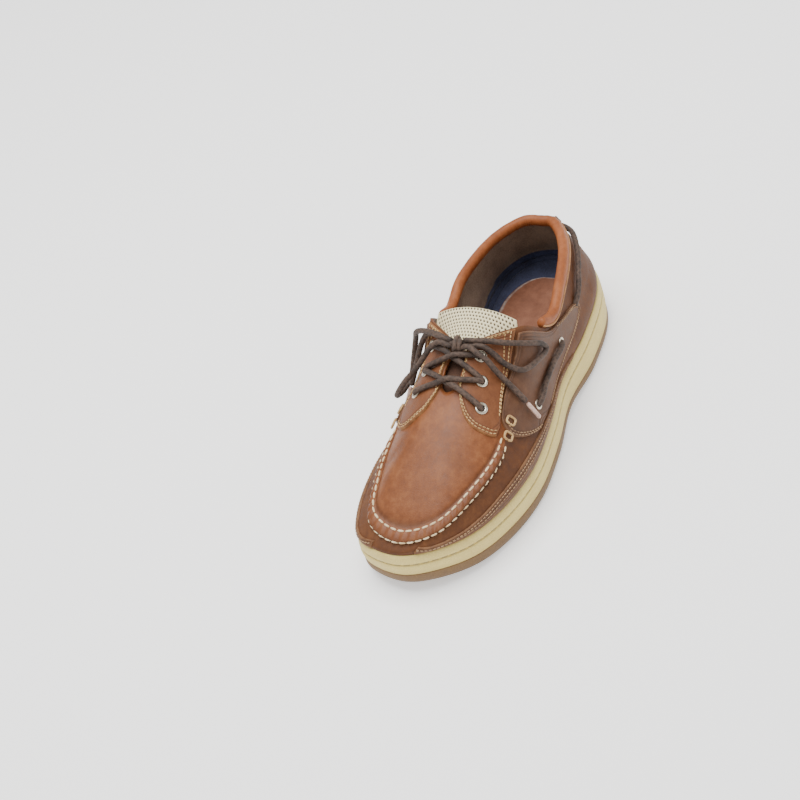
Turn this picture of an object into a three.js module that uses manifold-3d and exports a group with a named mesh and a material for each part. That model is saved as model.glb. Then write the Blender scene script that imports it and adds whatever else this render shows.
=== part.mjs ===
// Left boat shoe: leather upper with a moccasin plug, cream midsole, gum outsole, round laces.
// Millimetres. The table frame has the heel at x 0, the toe at +X, the outer (lateral) side at +Y, +Z up.
// A station s runs 0 to 20 round the shoe: 0 heel, 0-10 lateral side, 10 toe, 10-20 medial side.
// A rise v runs 0 to 2 up the upper: 0 feather edge on the sole, 1 shoulder (moc seam), 2 opening edge.
import * as THREE from 'three';
import { mergeVertices } from 'three/addons/utils/BufferGeometryUtils.js';
import ManifoldModule from 'manifold-3d';

const wasm = await ManifoldModule();
wasm.setup();

// driving sizes of the last and the sole
const LENGTH = 300;
const BALL_WIDTH = 103;
const SOLE_HEIGHT = 28;
const INSTEP_HEIGHT = 96;
const STATIONS = 20;

// leather, padding and cord sizes
const WALL = 2.2;
const GAP = 0.3;
const PANEL_GAP = 0.55;
const PANEL = 1.2;
const FOXING = 0.7;
const LEDGE = 2;
const RIM = 6.5;
const CUP_INSET = 5;
const INSOLE_THICK = 4;
const TONGUE_THICK = 4.4;
const ROLL_HALF_WIDE = 3.8;
const ROLL_HALF_TALL = 4.2;
const LACE_RADIUS = 1.7;
const SEAM_HEIGHT = 1.9;
const SEAM_HALF = 0.085;
const SEAM_FROM = 6.5;
const SEAM_FULL = 6.9;

// shape of the upper between its three rings
const WALL_BULGE = 0.5;
const SHOULDER_LEAN = 0.5;
const PLUG_CROWN = 0.18;

const UP = new THREE.Vector3(0, 0, 1);
const DEG = Math.PI / 180;

const table = (columns, rows) => rows.map((row) =>
  Object.fromEntries(columns.map((name, k) => [name, row[k]])));

// sole sections: place along the length, half widths over ball width, heights over sole height
const SOLE = table(['at', 'x', 'lateral', 'medial', 'ground', 'tread', 'deck'], [
  ['heel_back', 0.000, 0.010, -0.010, 0.071, 0.268, 1.000],
  ['heel_turn', 0.027, 0.238, 0.243, 0.029, 0.268, 0.982],
  ['heel_seat', 0.120, 0.403, 0.379, 0.000, 0.268, 0.957],
  ['shank_rear', 0.267, 0.466, 0.364, 0.000, 0.304, 0.911],
  ['waist', 0.417, 0.466, 0.330, 0.125, 0.375, 0.857],
  ['shank_front', 0.550, 0.529, 0.359, 0.000, 0.339, 0.804],
  ['ball_rear', 0.683, 0.563, 0.437, 0.000, 0.339, 0.768],
  ['ball', 0.800, 0.510, 0.466, 0.018, 0.375, 0.768],
  ['toe_joint', 0.900, 0.388, 0.417, 0.107, 0.446, 0.821],
  ['toe_turn', 0.970, 0.189, 0.301, 0.232, 0.571, 0.911],
  ['toe_tip', 1.000, -0.029, 0.029, 0.304, 0.625, 0.964],
]);

// shoulder of the last: the moc seam in front, mid wall at the rear; heights over instep height
const SHOULDER = table(['at', 'x', 'lateral', 'medial', 'up'], [
  ['heel_back', 0.017, 0.010, -0.010, 0.542],
  ['heel_turn', 0.040, 0.214, 0.218, 0.542],
  ['heel_seat', 0.127, 0.364, 0.350, 0.536],
  ['shank_rear', 0.267, 0.432, 0.350, 0.531],
  ['waist', 0.417, 0.447, 0.320, 0.552],
  ['shank_front', 0.540, 0.466, 0.311, 0.604],
  ['ball_rear', 0.650, 0.444, 0.327, 0.625],
  ['ball', 0.757, 0.452, 0.327, 0.562],
  ['toe_joint', 0.850, 0.377, 0.301, 0.510],
  ['toe_turn', 0.938, 0.233, 0.233, 0.448],
  ['toe_tip', 0.973, 0.000, 0.000, 0.417],
]);

// opening edge: collar, facing tops, throat edges and the front of the throat
const EDGE = table(['at', 'x', 'lateral', 'medial', 'up'], [
  ['heel_back', 0.046, 0.007, -0.007, 0.769],
  ['heel_turn', 0.060, 0.141, 0.160, 0.771],
  ['heel_seat', 0.140, 0.291, 0.301, 0.765],
  ['shank_rear', 0.267, 0.393, 0.350, 0.750],
  ['waist', 0.383, 0.427, 0.325, 0.729],
  ['shank_front', 0.477, 0.379, 0.267, 0.979],
  ['ball_rear', 0.550, 0.131, 0.015, 0.995],
  ['ball', 0.617, 0.121, 0.000, 0.922],
  ['toe_joint', 0.647, 0.112, -0.010, 0.885],
  ['toe_turn', 0.658, 0.087, -0.034, 0.870],
  ['toe_tip', 0.662, 0.058, -0.058, 0.865],
]);

// midsole wall, bottom to top: step out from the outline and height below the rim
const MIDSOLE_WALL = table(['at', 'out', 'below'], [
  ['bulge', 0.7, 14],
  ['groove_foot', 0.6, 8.0],
  ['groove_in_low', -0.3, 7.4],
  ['groove_in_high', -0.3, 6.7],
  ['groove_top', 0.5, 6.1],
  ['lip', 0.0, 3.0],
  ['rim', -1.5, 0],
  ['rim_inner', -5, 0],
]);

// outsole wall, bottom to top: step out from the outline and share of the tread's height
const OUTSOLE_WALL = table(['at', 'out', 'share'], [
  ['tread_edge', -2.6, 0.0],
  ['tread_turn', -0.6, 0.22],
  ['bulge', 0.3, 0.6],
  ['top', 0.0, 1.0],
]);

// panels: rise, station where the row starts at the back, station where it ends in front
const EYESTAY_LATERAL = table(['rise', 'back', 'front'], [
  [1.14, 6.50, 6.72],
  [1.22, 6.12, 6.92],
  [1.34, 5.74, 7.16],
  [1.50, 5.46, 7.50],
  [1.66, 5.32, 7.76],
  [1.80, 5.22, 7.84],
  [1.90, 5.16, 7.68],
  [1.98, 5.12, 7.40],
]);
const EYESTAY_MEDIAL = table(['rise', 'back', 'front'], [
  [1.14, 6.50, 6.72],
  [1.22, 6.12, 6.98],
  [1.34, 5.74, 7.36],
  [1.50, 5.46, 7.80],
  [1.66, 5.32, 8.14],
  [1.80, 5.22, 8.46],
  [1.90, 5.16, 8.40],
  [1.98, 5.12, 8.00],
]);
const QUARTER = table(['rise', 'back', 'front'], [
  [0.40, 4.86, 5.46],
  [0.47, 4.34, 5.66],
  [0.60, 3.72, 5.92],
  [0.79, 3.16, 6.18],
  [1.00, 2.86, 6.33],
  [1.12, 2.84, 6.34],
  [1.22, 2.90, 6.00],
  [1.34, 3.04, 5.66],
  [1.50, 3.30, 5.39],
  [1.72, 3.60, 5.21],
  [1.90, 3.80, 5.09],
]);

// foxing strip: station, lower and upper rise of the strip
const FOXING_ROWS = table(['station', 'low', 'high'], [
  [3.50, 0.03, 0.16],
  [4.05, 0.03, 0.30],
  [5.02, 0.02, 0.33],
  [5.56, 0.02, 0.36],
  [6.34, 0.02, 0.39],
  [7.08, 0.02, 0.43],
  [7.78, 0.02, 0.36],
  [8.26, 0.02, 0.31],
  [9.00, 0.02, 0.33],
  [9.40, 0.08, 0.56],
]);

// heel tab: half span in stations, rises, and how it arches over the collar lace
const HEEL_TAB = { half: 0.4, low: 0.32, high: 1.96 };
const HEEL_LACE_RISE = 1.66;
const HEEL_LACE_BAND = 0.2;

// lace holes, in stations and rises
const EYELETS = table(['name', 'station', 'rise'], [
  ['eyelet_lateral_1', 6.84, 1.49],
  ['eyelet_lateral_2', 6.34, 1.60],
  ['eyelet_lateral_3', 5.98, 1.79],
  ['eyelet_medial_1', 13.44, 1.47],
  ['eyelet_medial_2', 13.90, 1.55],
  ['eyelet_medial_3', 14.38, 1.74],
  ['eyelet_side_lateral_rear', 3.76, 1.12],
  ['eyelet_side_lateral_front', 5.20, 0.72],
  ['eyelet_side_medial_rear', 16.24, 1.12],
  ['eyelet_side_medial_front', 14.80, 0.72],
]);
const HOLE_RADIUS = 3.05;
const EYELET = { bore: 2.0, barrel: 2.5, flange: 4.1, seat: 0.5, crown: 1.3, foot: -4.1 };

// lace over the throat: each run leaves one eyelet, crosses both throat edges, ends at the next eyelet
const LACE_RUNS = table(['from', 'edgeFrom', 'edgeTo', 'to'], [
  ['eyelet_lateral_1', 8.0, 12.65, 'eyelet_medial_2'],
  ['eyelet_medial_1', 12.2, 7.4, 'eyelet_lateral_2'],
  ['eyelet_lateral_2', 6.7, 13.67, 'eyelet_medial_3'],
  ['eyelet_medial_2', 13.4, 6.4, 'eyelet_lateral_3'],
]);
const LACE_LIFT = 5.2;

// free cords of the bow on the upper: station, rise and height above the leather
const LOOP_LATERAL = table(['station', 'rise', 'lift'], [
  [5.98, 1.98, 7.2],
  [5.68, 1.90, 6.0],
  [5.40, 1.80, 5.2],
  [5.04, 1.70, 4.8],
  [4.68, 1.62, 4.8],
  [4.54, 1.50, 4.8],
  [4.86, 1.38, 4.8],
  [5.32, 1.37, 4.8],
  [5.60, 1.54, 5.2],
  [5.72, 1.72, 6.0],
  [5.86, 1.86, 7.4],
]);
const LOOP_MEDIAL = table(['station', 'rise', 'lift'], [
  [14.02, 1.98, 8.8],
  [14.40, 1.93, 9.2],
  [14.80, 1.80, 8.8],
  [15.06, 1.58, 9.0],
  [15.10, 1.25, 11.0],
  [14.98, 0.88, 12.0],
  [14.70, 0.70, 12.0],
  [14.36, 0.86, 11.0],
  [14.14, 1.22, 8.4],
  [14.04, 1.46, 7.4],
  [14.00, 1.64, 8.4],
  [13.98, 1.78, 9.6],
  [13.94, 1.92, 9.0],
]);
const END_LATERAL = table(['station', 'rise', 'lift'], [
  [6.22, 1.96, 8.6],
  [6.12, 1.82, 9.6],
  [6.00, 1.68, 9.4],
  [5.90, 1.54, 6.8],
  [5.80, 1.40, 5.0],
  [5.70, 1.24, 4.9],
  [5.56, 1.02, 4.9],
]);
const END_MEDIAL = table(['station', 'rise', 'lift'], [
  [14.14, 1.98, 4.9],
  [14.40, 1.93, 4.9],
  [14.62, 1.82, 4.9],
  [14.70, 1.62, 4.9],
  [14.66, 1.36, 4.9],
  [14.62, 1.16, 4.9],
  [14.58, 1.02, 4.9],
]);
const AGLET_LATERAL = table(['station', 'rise', 'lift'], [
  [5.555, 1.006, 4.9],
  [5.45, 0.59, 4.6],
]);
const AGLET_MEDIAL = table(['station', 'rise', 'lift'], [
  [14.577, 1.006, 4.9],
  [14.50, 0.59, 4.6],
]);
const KNOT = { x: 170, y: 6.5, z: 99.2, long: 6.2, wide: 5.4, tall: 3.8 };

// collar lace: along each quarter between the side eyelets, and round the heel under the tab
const SIDE_LACE = table(['station', 'rise', 'lift'], [
  [3.82, 1.12, 5.6],
  [4.20, 1.06, 4.3],
  [4.74, 0.91, 4.3],
  [5.12, 0.755, 5.6],
]);
const HEEL_LACE = table(['station', 'rise', 'lift'], [
  [2.74, 1.34, 2.6],
  [2.40, 1.56, 2.6],
  [1.80, 1.68, 2.6],
  [1.00, 1.66, 2.6],
  [0.00, 1.66, 2.6],
]);

// tongue, front to top: place along the length, height, half width and drop at its sides
const TONGUE = table(['x', 'up', 'half', 'drop'], [
  [218, 70.8, 9, 2],
  [205, 75.4, 13, 3.5],
  [190, 80.4, 17, 6],
  [175, 85.7, 21, 9.5],
  [160, 91.1, 26, 12.8],
  [150, 95.8, 29, 13.5],
  [143, 99.8, 30, 10.5],
  [139, 102.4, 29, 7.5],
]);
const THROAT_CENTRE = 6;

// closed ring through the sections: out along the lateral side, back along the medial side
function ringCurve(rows, height) {
  const place = (row, y) => new THREE.Vector3(row.x * LENGTH, y * BALL_WIDTH, height(row));
  const lateral = rows.map((row) => place(row, row.lateral));
  const medial = rows.slice(1, -1).reverse().map((row) => place(row, -row.medial));
  return new THREE.CatmullRomCurve3([...lateral, ...medial], true, 'catmullrom', 0.5);
}
const along = (curve, s) => curve.getPoint((((s / STATIONS) % 1) + 1) % 1);

const groundRing = ringCurve(SOLE, (row) => row.ground * SOLE_HEIGHT);
const treadRing = ringCurve(SOLE, (row) => row.tread * SOLE_HEIGHT);
const deckRing = ringCurve(SOLE, (row) => row.deck * SOLE_HEIGHT);
const rimRing = ringCurve(SOLE, (row) => row.deck * SOLE_HEIGHT + RIM);
const shoulderRing = ringCurve(SHOULDER, (row) => row.up * INSTEP_HEIGHT);
const edgeRing = ringCurve(EDGE, (row) => row.up * INSTEP_HEIGHT);

// level outward direction of the sole outline
function outward(s) {
  const step = 0.001;
  const run = along(groundRing, s + step).sub(along(groundRing, s - step));
  return new THREE.Vector3(-run.y, run.x, 0).normalize();
}
const soleAt = (curve, s, out) => along(curve, s).addScaledVector(outward(s), out);

// cubic between two points with a tangent at each
function hermite(from, leave, to, arrive, t) {
  return new THREE.Vector3()
    .addScaledVector(from, 2 * t ** 3 - 3 * t ** 2 + 1)
    .addScaledVector(leave, t ** 3 - 2 * t ** 2 + t)
    .addScaledVector(to, 3 * t ** 2 - 2 * t ** 3)
    .addScaledVector(arrive, t ** 3 - t ** 2);
}

// the upper's own surface: wall from feather to shoulder, plug or quarter from shoulder to edge
function upperAt(s, v) {
  const feather = soleAt(rimRing, s, -LEDGE).addScaledVector(UP, GAP);
  const shoulder = along(shoulderRing, s);
  const edge = along(edgeRing, s);
  const lid = edge.clone().sub(shoulder);
  const reach = lid.length();
  lid.normalize();
  if (v <= 1) {
    const height = feather.distanceTo(shoulder);
    const leave = outward(s).multiplyScalar(WALL_BULGE).add(UP).multiplyScalar(height);
    const arrive = UP.clone().multiplyScalar(1 - SHOULDER_LEAN).addScaledVector(lid, SHOULDER_LEAN);
    return hermite(feather, leave, shoulder, arrive.normalize().multiplyScalar(height), v);
  }
  const leave = lid.clone().addScaledVector(UP, PLUG_CROWN).multiplyScalar(reach);
  const arrive = lid.clone().addScaledVector(UP, -PLUG_CROWN).multiplyScalar(reach);
  return hermite(shoulder, leave, edge, arrive, v - 1);
}
function upperNormal(s, v) {
  const step = 0.001;
  const rise = upperAt(s, Math.min(v + step, 2)).sub(upperAt(s, Math.max(v - step, 0)));
  const run = upperAt(s + step, v).sub(upperAt(s - step, v));
  return rise.cross(run).normalize();
}
const leather = (s, v, lift) => upperAt(s, v).addScaledVector(upperNormal(s, v), lift);

// raised moc seam, full in front and fading out at the seam's two ends
function seamLift(s, v) {
  const side = s > 10 ? STATIONS - s : s;
  const fade = THREE.MathUtils.smoothstep(side, SEAM_FROM, SEAM_FULL);
  const across = Math.min(Math.abs(v - 1) / SEAM_HALF, 1);
  return SEAM_HEIGHT * fade * (1 - across * across);
}

// triangles of a closed skin made from rings of equal count
function ringFaces(rings, count, closeRings) {
  const faces = [];
  const last = closeRings ? rings : rings - 1;
  for (let r = 0; r < last; r += 1) {
    const next = (r + 1) % rings;
    for (let k = 0; k < count; k += 1) {
      const n = (k + 1) % count;
      faces.push([r * count + k, r * count + n, next * count + n]);
      faces.push([r * count + k, next * count + n, next * count + k]);
    }
  }
  return faces;
}
// cap of a foot-shaped ring: rungs between the lateral and the medial points
function rungFaces(start, count, flip) {
  const faces = [];
  const half = count / 2;
  const id = (k) => start + ((k + count) % count);
  for (let k = 0; k < half; k += 1) {
    const near = [id(k), id(k + 1), id(-k - 1)];
    const far = [id(k), id(-k - 1), id(-k)];
    if (k < half - 1) faces.push(near);
    if (k > 0) faces.push(far);
  }
  return flip ? faces.map(([a, b, c]) => [a, c, b]) : faces;
}
// closed geometry from points and triangles, with its faces turned outwards
function skin(points, faces) {
  let volume = 0;
  const edge = new THREE.Vector3();
  faces.forEach(([a, b, c]) => {
    volume += edge.copy(points[a]).cross(points[b]).dot(points[c]);
  });
  const turned = volume < 0 ? faces.map(([a, b, c]) => [a, c, b]) : faces;
  const geometry = new THREE.BufferGeometry();
  geometry.setAttribute('position', new THREE.Float32BufferAttribute(points.flatMap((p) => p.toArray()), 3));
  geometry.setIndex(turned.flat());
  return geometry;
}

// solid of stacked foot-shaped rings, closed by a cap at each end
function stack(rings) {
  const count = rings[0].length;
  const top = (rings.length - 1) * count;
  const faces = [
    ...ringFaces(rings.length, count, false),
    ...rungFaces(0, count, true),
    ...rungFaces(top, count, false),
  ];
  return skin(rings.flat(), faces);
}
const stationList = (count) => Array.from({ length: count }, (_, k) => (k * STATIONS) / count);
// stations of the upper, closer together at the facing corners
const UPPER_SPANS = table(['from', 'to', 'steps'], [
  [0, 4, 10],
  [4, 6.4, 11],
  [6.4, 10, 10],
]);
function upperStations() {
  const side = UPPER_SPANS.flatMap((span) => Array.from({ length: span.steps }, (_, k) =>
    span.from + ((span.to - span.from) * k) / span.steps));
  const back = [...side.slice(1), STATIONS / 2].reverse().map((s) => STATIONS - s).slice(1);
  return [...side, STATIONS / 2, ...back];
}

function outsoleGeometry() {
  const stations = stationList(48);
  return stack(OUTSOLE_WALL.map((row) => stations.map((s) => {
    const low = Math.max(along(groundRing, s).z, 0);
    const high = along(treadRing, s).z - GAP / 2;
    const point = soleAt(groundRing, s, row.out);
    return point.setZ(low + (high - low) * row.share);
  })));
}
function midsoleGeometry() {
  const stations = stationList(48);
  const foot = stations.map((s) => soleAt(treadRing, s, 0).addScaledVector(UP, GAP / 2));
  const wall = MIDSOLE_WALL.map((row) => stations.map((s) => {
    const share = row.at === 'bulge' ? (along(rimRing, s).z - along(treadRing, s).z) / 24 : 1;
    return soleAt(rimRing, s, row.out).addScaledVector(UP, -row.below * share);
  }));
  const floor = stations.map((s) => soleAt(deckRing, s, -CUP_INSET));
  return stack([foot, ...wall, floor]);
}
function insoleGeometry() {
  const stations = stationList(40);
  const inset = CUP_INSET + 0.6;
  const layer = (out, lift) => stations.map((s) => soleAt(deckRing, s, -out).addScaledVector(UP, lift));
  return stack([
    layer(inset, GAP),
    layer(inset, INSOLE_THICK - 1),
    layer(inset + 1.2, INSOLE_THICK + GAP),
  ]);
}

// hollow upper: outer skin up, inner skin down, joined at the opening and at the feather edge
function upperGeometry() {
  const stations = upperStations();
  const outer = [0, 0.2, 0.4, 0.6, 0.78, 1 - SEAM_HALF, 1, 1 + SEAM_HALF, 1.25, 1.5, 1.75, 2];
  const inner = [2, 1.5, 1, 0.5, 0];
  const rings = [
    ...outer.map((v) => stations.map((s) => leather(s, v, seamLift(s, v)))),
    ...inner.map((v) => stations.map((s) => leather(s, v, -WALL))),
  ];
  return skin(rings.flat(), ringFaces(rings.length, stations.length, true));
}

// slab between two heights above the upper's surface over a mapped patch
function slab(map, across, up, low, high) {
  const count = (across + 1) * (up + 1);
  const points = [];
  [low, high].forEach((lift) => {
    for (let b = 0; b <= up; b += 1) {
      for (let a = 0; a <= across; a += 1) {
        const [s, v] = map(a / across, b / up);
        points.push(leather(s, v, lift(s, v)));
      }
    }
  });
  const id = (layer, a, b) => layer * count + b * (across + 1) + a;
  const faces = [];
  const quad = (p, q, r, t) => faces.push([p, q, r], [p, r, t]);
  for (let b = 0; b < up; b += 1) {
    for (let a = 0; a < across; a += 1) {
      quad(id(1, a, b), id(1, a + 1, b), id(1, a + 1, b + 1), id(1, a, b + 1));
      quad(id(0, a, b), id(0, a, b + 1), id(0, a + 1, b + 1), id(0, a + 1, b));
    }
  }
  for (let a = 0; a < across; a += 1) {
    quad(id(0, a, 0), id(0, a + 1, 0), id(1, a + 1, 0), id(1, a, 0));
    quad(id(0, a + 1, up), id(0, a, up), id(1, a, up), id(1, a + 1, up));
  }
  for (let b = 0; b < up; b += 1) {
    quad(id(0, 0, b + 1), id(0, 0, b), id(1, 0, b), id(1, 0, b + 1));
    quad(id(0, across, b), id(0, across, b + 1), id(1, across, b + 1), id(1, across, b));
  }
  return skin(points, faces);
}
// smooth run through the rows of a table, read at 0 to 1
function tableRun(rows, columns) {
  const points = rows.map((row) => new THREE.Vector3(...columns.map((name) => row[name])));
  const run = new THREE.CatmullRomCurve3(points, false, 'centripetal');
  return (t) => run.getPoint(t);
}
const mirror = (medial, s) => (medial ? STATIONS - s : s);
const flat = (lift) => () => lift;

function panelGeometry(rows, medial, across, up) {
  const run = tableRun(rows, ['rise', 'back', 'front']);
  const map = (a, b) => {
    const row = run(b);
    const share = medial ? 1 - a : a;
    return [mirror(medial, row.y + (row.z - row.y) * share), row.x];
  };
  return slab(map, across, up, flat(PANEL_GAP), flat(PANEL_GAP + PANEL));
}
function foxingGeometry(medial) {
  const run = tableRun(FOXING_ROWS, ['station', 'low', 'high']);
  const map = (a, b) => {
    const row = run(medial ? 1 - a : a);
    return [mirror(medial, row.x), row.y + (row.z - row.y) * b];
  };
  return slab(map, 20, 3, flat(PANEL_GAP), flat(PANEL_GAP + FOXING));
}
function heelTabGeometry() {
  const rise = 2 * LACE_RADIUS + 1.2;
  const arch = (v) => {
    const off = Math.abs(v - HEEL_LACE_RISE);
    return rise * (1 - THREE.MathUtils.smoothstep(off, HEEL_LACE_BAND * 0.6, HEEL_LACE_BAND * 1.5));
  };
  const map = (a, b) => [
    HEEL_TAB.half * (2 * a - 1),
    THREE.MathUtils.lerp(HEEL_TAB.low, HEEL_TAB.high, b),
  ];
  return slab(map, 3, 11, (s, v) => PANEL_GAP + arch(v), (s, v) => PANEL_GAP + PANEL + arch(v));
}

// padded roll on the collar's rim, thinner at its two ends
function collarGeometry() {
  const steps = 38;
  const sides = 8;
  const reach = 4.35;
  const rings = [];
  for (let k = 0; k <= steps; k += 1) {
    const s = reach * (1 - (2 * k) / steps);
    const end = Math.min(1, (reach - Math.abs(s)) / 0.35);
    const size = 0.62 + 0.38 * Math.sqrt(Math.max(end, 0) * (2 - end));
    const out = upperNormal(s, 2);
    const rim = leather(s, 2, -WALL / 2);
    const rise = upperAt(s, 2).sub(upperAt(s, 1.98)).normalize();
    const centre = rim.addScaledVector(rise, ROLL_HALF_TALL * size + 2 * GAP);
    const ring = [];
    for (let q = 0; q < sides; q += 1) {
      const turn = ((q + 0.5) / sides) * 360 * DEG;
      ring.push(centre.clone()
        .addScaledVector(out, Math.cos(turn) * ROLL_HALF_WIDE * size)
        .addScaledVector(rise, Math.sin(turn) * ROLL_HALF_TALL * size));
    }
    rings.push(ring);
  }
  const faces = ringFaces(rings.length, sides, false);
  const last = (rings.length - 1) * sides;
  for (let q = 1; q < sides - 1; q += 1) {
    faces.push([0, q + 1, q]);
    faces.push([last, last + q, last + q + 1]);
  }
  return skin(rings.flat(), faces);
}

function tongueGeometry() {
  const run = tableRun(TONGUE, ['x', 'up', 'half']);
  const drops = tableRun(TONGUE, ['drop', 'drop', 'drop']);
  const across = 8;
  const along2 = 10;
  const points = [];
  [-TONGUE_THICK / 2, TONGUE_THICK / 2].forEach((lift) => {
    for (let b = 0; b <= along2; b += 1) {
      const row = run(b / along2);
      const drop = drops(b / along2).x;
      for (let a = 0; a <= across; a += 1) {
        const w = (2 * a) / across - 1;
        const thin = 1 - 0.45 * w ** 4;
        points.push(new THREE.Vector3(row.x, THROAT_CENTRE + w * row.z, row.y - drop * w * w + lift * thin));
      }
    }
  });
  const count = (across + 1) * (along2 + 1);
  const id = (layer, a, b) => layer * count + b * (across + 1) + a;
  const faces = [];
  const quad = (p, q, r, t) => faces.push([p, q, r], [p, r, t]);
  for (let b = 0; b < along2; b += 1) {
    for (let a = 0; a < across; a += 1) {
      quad(id(1, a, b), id(1, a + 1, b), id(1, a + 1, b + 1), id(1, a, b + 1));
      quad(id(0, a, b), id(0, a, b + 1), id(0, a + 1, b + 1), id(0, a + 1, b));
    }
    quad(id(0, 0, b + 1), id(0, 0, b), id(1, 0, b), id(1, 0, b + 1));
    quad(id(0, across, b), id(0, across, b + 1), id(1, across, b + 1), id(1, across, b));
  }
  for (let a = 0; a < across; a += 1) {
    quad(id(0, a, 0), id(0, a + 1, 0), id(1, a + 1, 0), id(1, a, 0));
    quad(id(0, a + 1, along2), id(0, a, along2), id(1, a, along2), id(1, a + 1, along2));
  }
  return skin(points, faces);
}

// round cord through points
function cordGeometry(points, radius, steps) {
  const circle = new THREE.Shape();
  const sides = 8;
  for (let q = 0; q < sides; q += 1) {
    const turn = (q / sides) * 360 * DEG;
    const x = Math.cos(turn) * radius;
    const y = Math.sin(turn) * radius;
    if (q === 0) circle.moveTo(x, y);
    else circle.lineTo(x, y);
  }
  const path = new THREE.CatmullRomCurve3(points, false, 'centripetal');
  return new THREE.ExtrudeGeometry(circle, { steps, bevelEnabled: false, extrudePath: path });
}
const cordPoints = (rows, medial) =>
  rows.map((row) => leather(mirror(medial, row.station), row.rise, row.lift));

// joining and cutting of closed solids
function toManifold(geometry) {
  const plain = new THREE.BufferGeometry();
  plain.setAttribute('position', geometry.getAttribute('position').clone());
  if (geometry.index) plain.setIndex(geometry.index.clone());
  const welded = mergeVertices(plain, 0.001);
  return new wasm.Manifold(new wasm.Mesh({
    numProp: 3,
    vertProperties: new Float32Array(welded.getAttribute('position').array),
    triVerts: new Uint32Array(welded.index.array),
  }));
}
function fromManifold(solid) {
  const mesh = solid.getMesh();
  const geometry = new THREE.BufferGeometry();
  geometry.setAttribute('position', new THREE.BufferAttribute(new Float32Array(mesh.vertProperties), 3));
  geometry.setIndex(new THREE.BufferAttribute(new Uint32Array(mesh.triVerts), 1));
  return geometry;
}
const join = (geometries) => fromManifold(wasm.Manifold.union(geometries.map(toManifold)));
const cut = (geometry, tools) =>
  fromManifold(toManifold(geometry).subtract(wasm.Manifold.union(tools.map(toManifold))));

// place a piece built about +Z at a lace hole, square to the leather
function atHole(geometry, row, lift) {
  const turn = new THREE.Quaternion().setFromUnitVectors(UP, upperNormal(row.station, row.rise));
  const spot = leather(row.station, row.rise, lift);
  return geometry.applyMatrix4(new THREE.Matrix4().compose(spot, turn, new THREE.Vector3(1, 1, 1)));
}
const holeTool = (row) => atHole(
  new THREE.CylinderGeometry(HOLE_RADIUS, HOLE_RADIUS, 12, 8).rotateX(90 * DEG), row, 0);
function eyeletGeometry(row) {
  const profile = [
    [EYELET.bore, EYELET.foot],
    [EYELET.barrel, EYELET.foot],
    [EYELET.barrel, EYELET.seat],
    [EYELET.flange, EYELET.seat],
    [EYELET.bore, EYELET.crown],
    [EYELET.bore, EYELET.foot],
  ].map(([r, z]) => new THREE.Vector2(r, z));
  return atHole(new THREE.LatheGeometry(profile, 8).rotateX(90 * DEG), row, PANEL_GAP + PANEL);
}
const eyeletNamed = (name) => EYELETS.find((row) => row.name === name);
const holesIn = (word) => EYELETS.filter((row) => row.name.includes(word)).map(holeTool);

// one lace run over the throat, following the leather on both sides
function laceRun(row) {
  const from = eyeletNamed(row.from);
  const to = eyeletNamed(row.to);
  const between = (a, b, t) => THREE.MathUtils.lerp(a, b, t);
  const half = (eye, edge) => leather(
    between(eye.station, edge, 0.5), between(eye.rise, 1.97, 0.5), LACE_LIFT);
  const over = (edge) => leather(edge, 1.97, LACE_LIFT);
  return cordGeometry([
    leather(from.station, from.rise, LACE_LIFT),
    half(from, row.edgeFrom),
    over(row.edgeFrom),
    over(row.edgeTo),
    half(to, row.edgeTo),
    leather(to.station, to.rise, LACE_LIFT),
  ], LACE_RADIUS, 8);
}

const COLOURS = {
  tan: { color: 0x8a5a3c, roughness: 0.5 },
  brown: { color: 0x5c3f30, roughness: 0.62 },
  roll: { color: 0xa4683f, roughness: 0.5 },
  cream: { color: 0xd9cfa8, roughness: 0.6 },
  gum: { color: 0x75614c, roughness: 0.7 },
  mesh: { color: 0xe6e0c8, roughness: 0.85 },
  lace: { color: 0x4b3a30, roughness: 0.8 },
  metal: { color: 0xc9c4b8, roughness: 0.3, metalness: 1 },
  sock: { color: 0x6b4633, roughness: 0.6 },
  tip: { color: 0xe8d8cc, roughness: 0.4 },
};

const shoe = new THREE.Group();
shoe.name = 'boat_shoe_left';
function add(name, geometry, look) {
  const plain = new THREE.BufferGeometry();
  plain.setAttribute('position', geometry.getAttribute('position').clone());
  if (geometry.index) plain.setIndex(geometry.index.clone());
  plain.computeVertexNormals();
  const mesh = new THREE.Mesh(plain, new THREE.MeshStandardMaterial(COLOURS[look]));
  mesh.name = name;
  shoe.add(mesh);
}

add('outsole', outsoleGeometry(), 'gum');
add('midsole', midsoleGeometry(), 'cream');
add('insole', insoleGeometry(), 'sock');
add('upper', cut(upperGeometry(), EYELETS.map(holeTool)), 'brown');
add('tongue', tongueGeometry(), 'mesh');
add('collar_roll', collarGeometry(), 'roll');
add('eyestay_lateral', cut(panelGeometry(EYESTAY_LATERAL, false, 9, 7), holesIn('eyelet_lateral')), 'tan');
add('eyestay_medial', cut(panelGeometry(EYESTAY_MEDIAL, true, 9, 7), holesIn('eyelet_medial')), 'tan');
add('quarter_lateral', cut(panelGeometry(QUARTER, false, 10, 10), holesIn('side_lateral')), 'brown');
add('quarter_medial', cut(panelGeometry(QUARTER, true, 10, 10), holesIn('side_medial')), 'brown');
add('foxing_lateral', foxingGeometry(false), 'brown');
add('foxing_medial', foxingGeometry(true), 'brown');
add('heel_tab', heelTabGeometry(), 'brown');
EYELETS.forEach((row) => add(row.name, eyeletGeometry(row), 'metal'));
add('lace_crossings', join(LACE_RUNS.map(laceRun)), 'lace');
add('side_lace_lateral', cordGeometry(cordPoints(SIDE_LACE, false), LACE_RADIUS, 7), 'lace');
add('side_lace_medial', cordGeometry(cordPoints(SIDE_LACE, true), LACE_RADIUS, 7), 'lace');
const heelRows = [...cordPoints(HEEL_LACE, false), ...cordPoints(HEEL_LACE, true).reverse().slice(1)];
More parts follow.
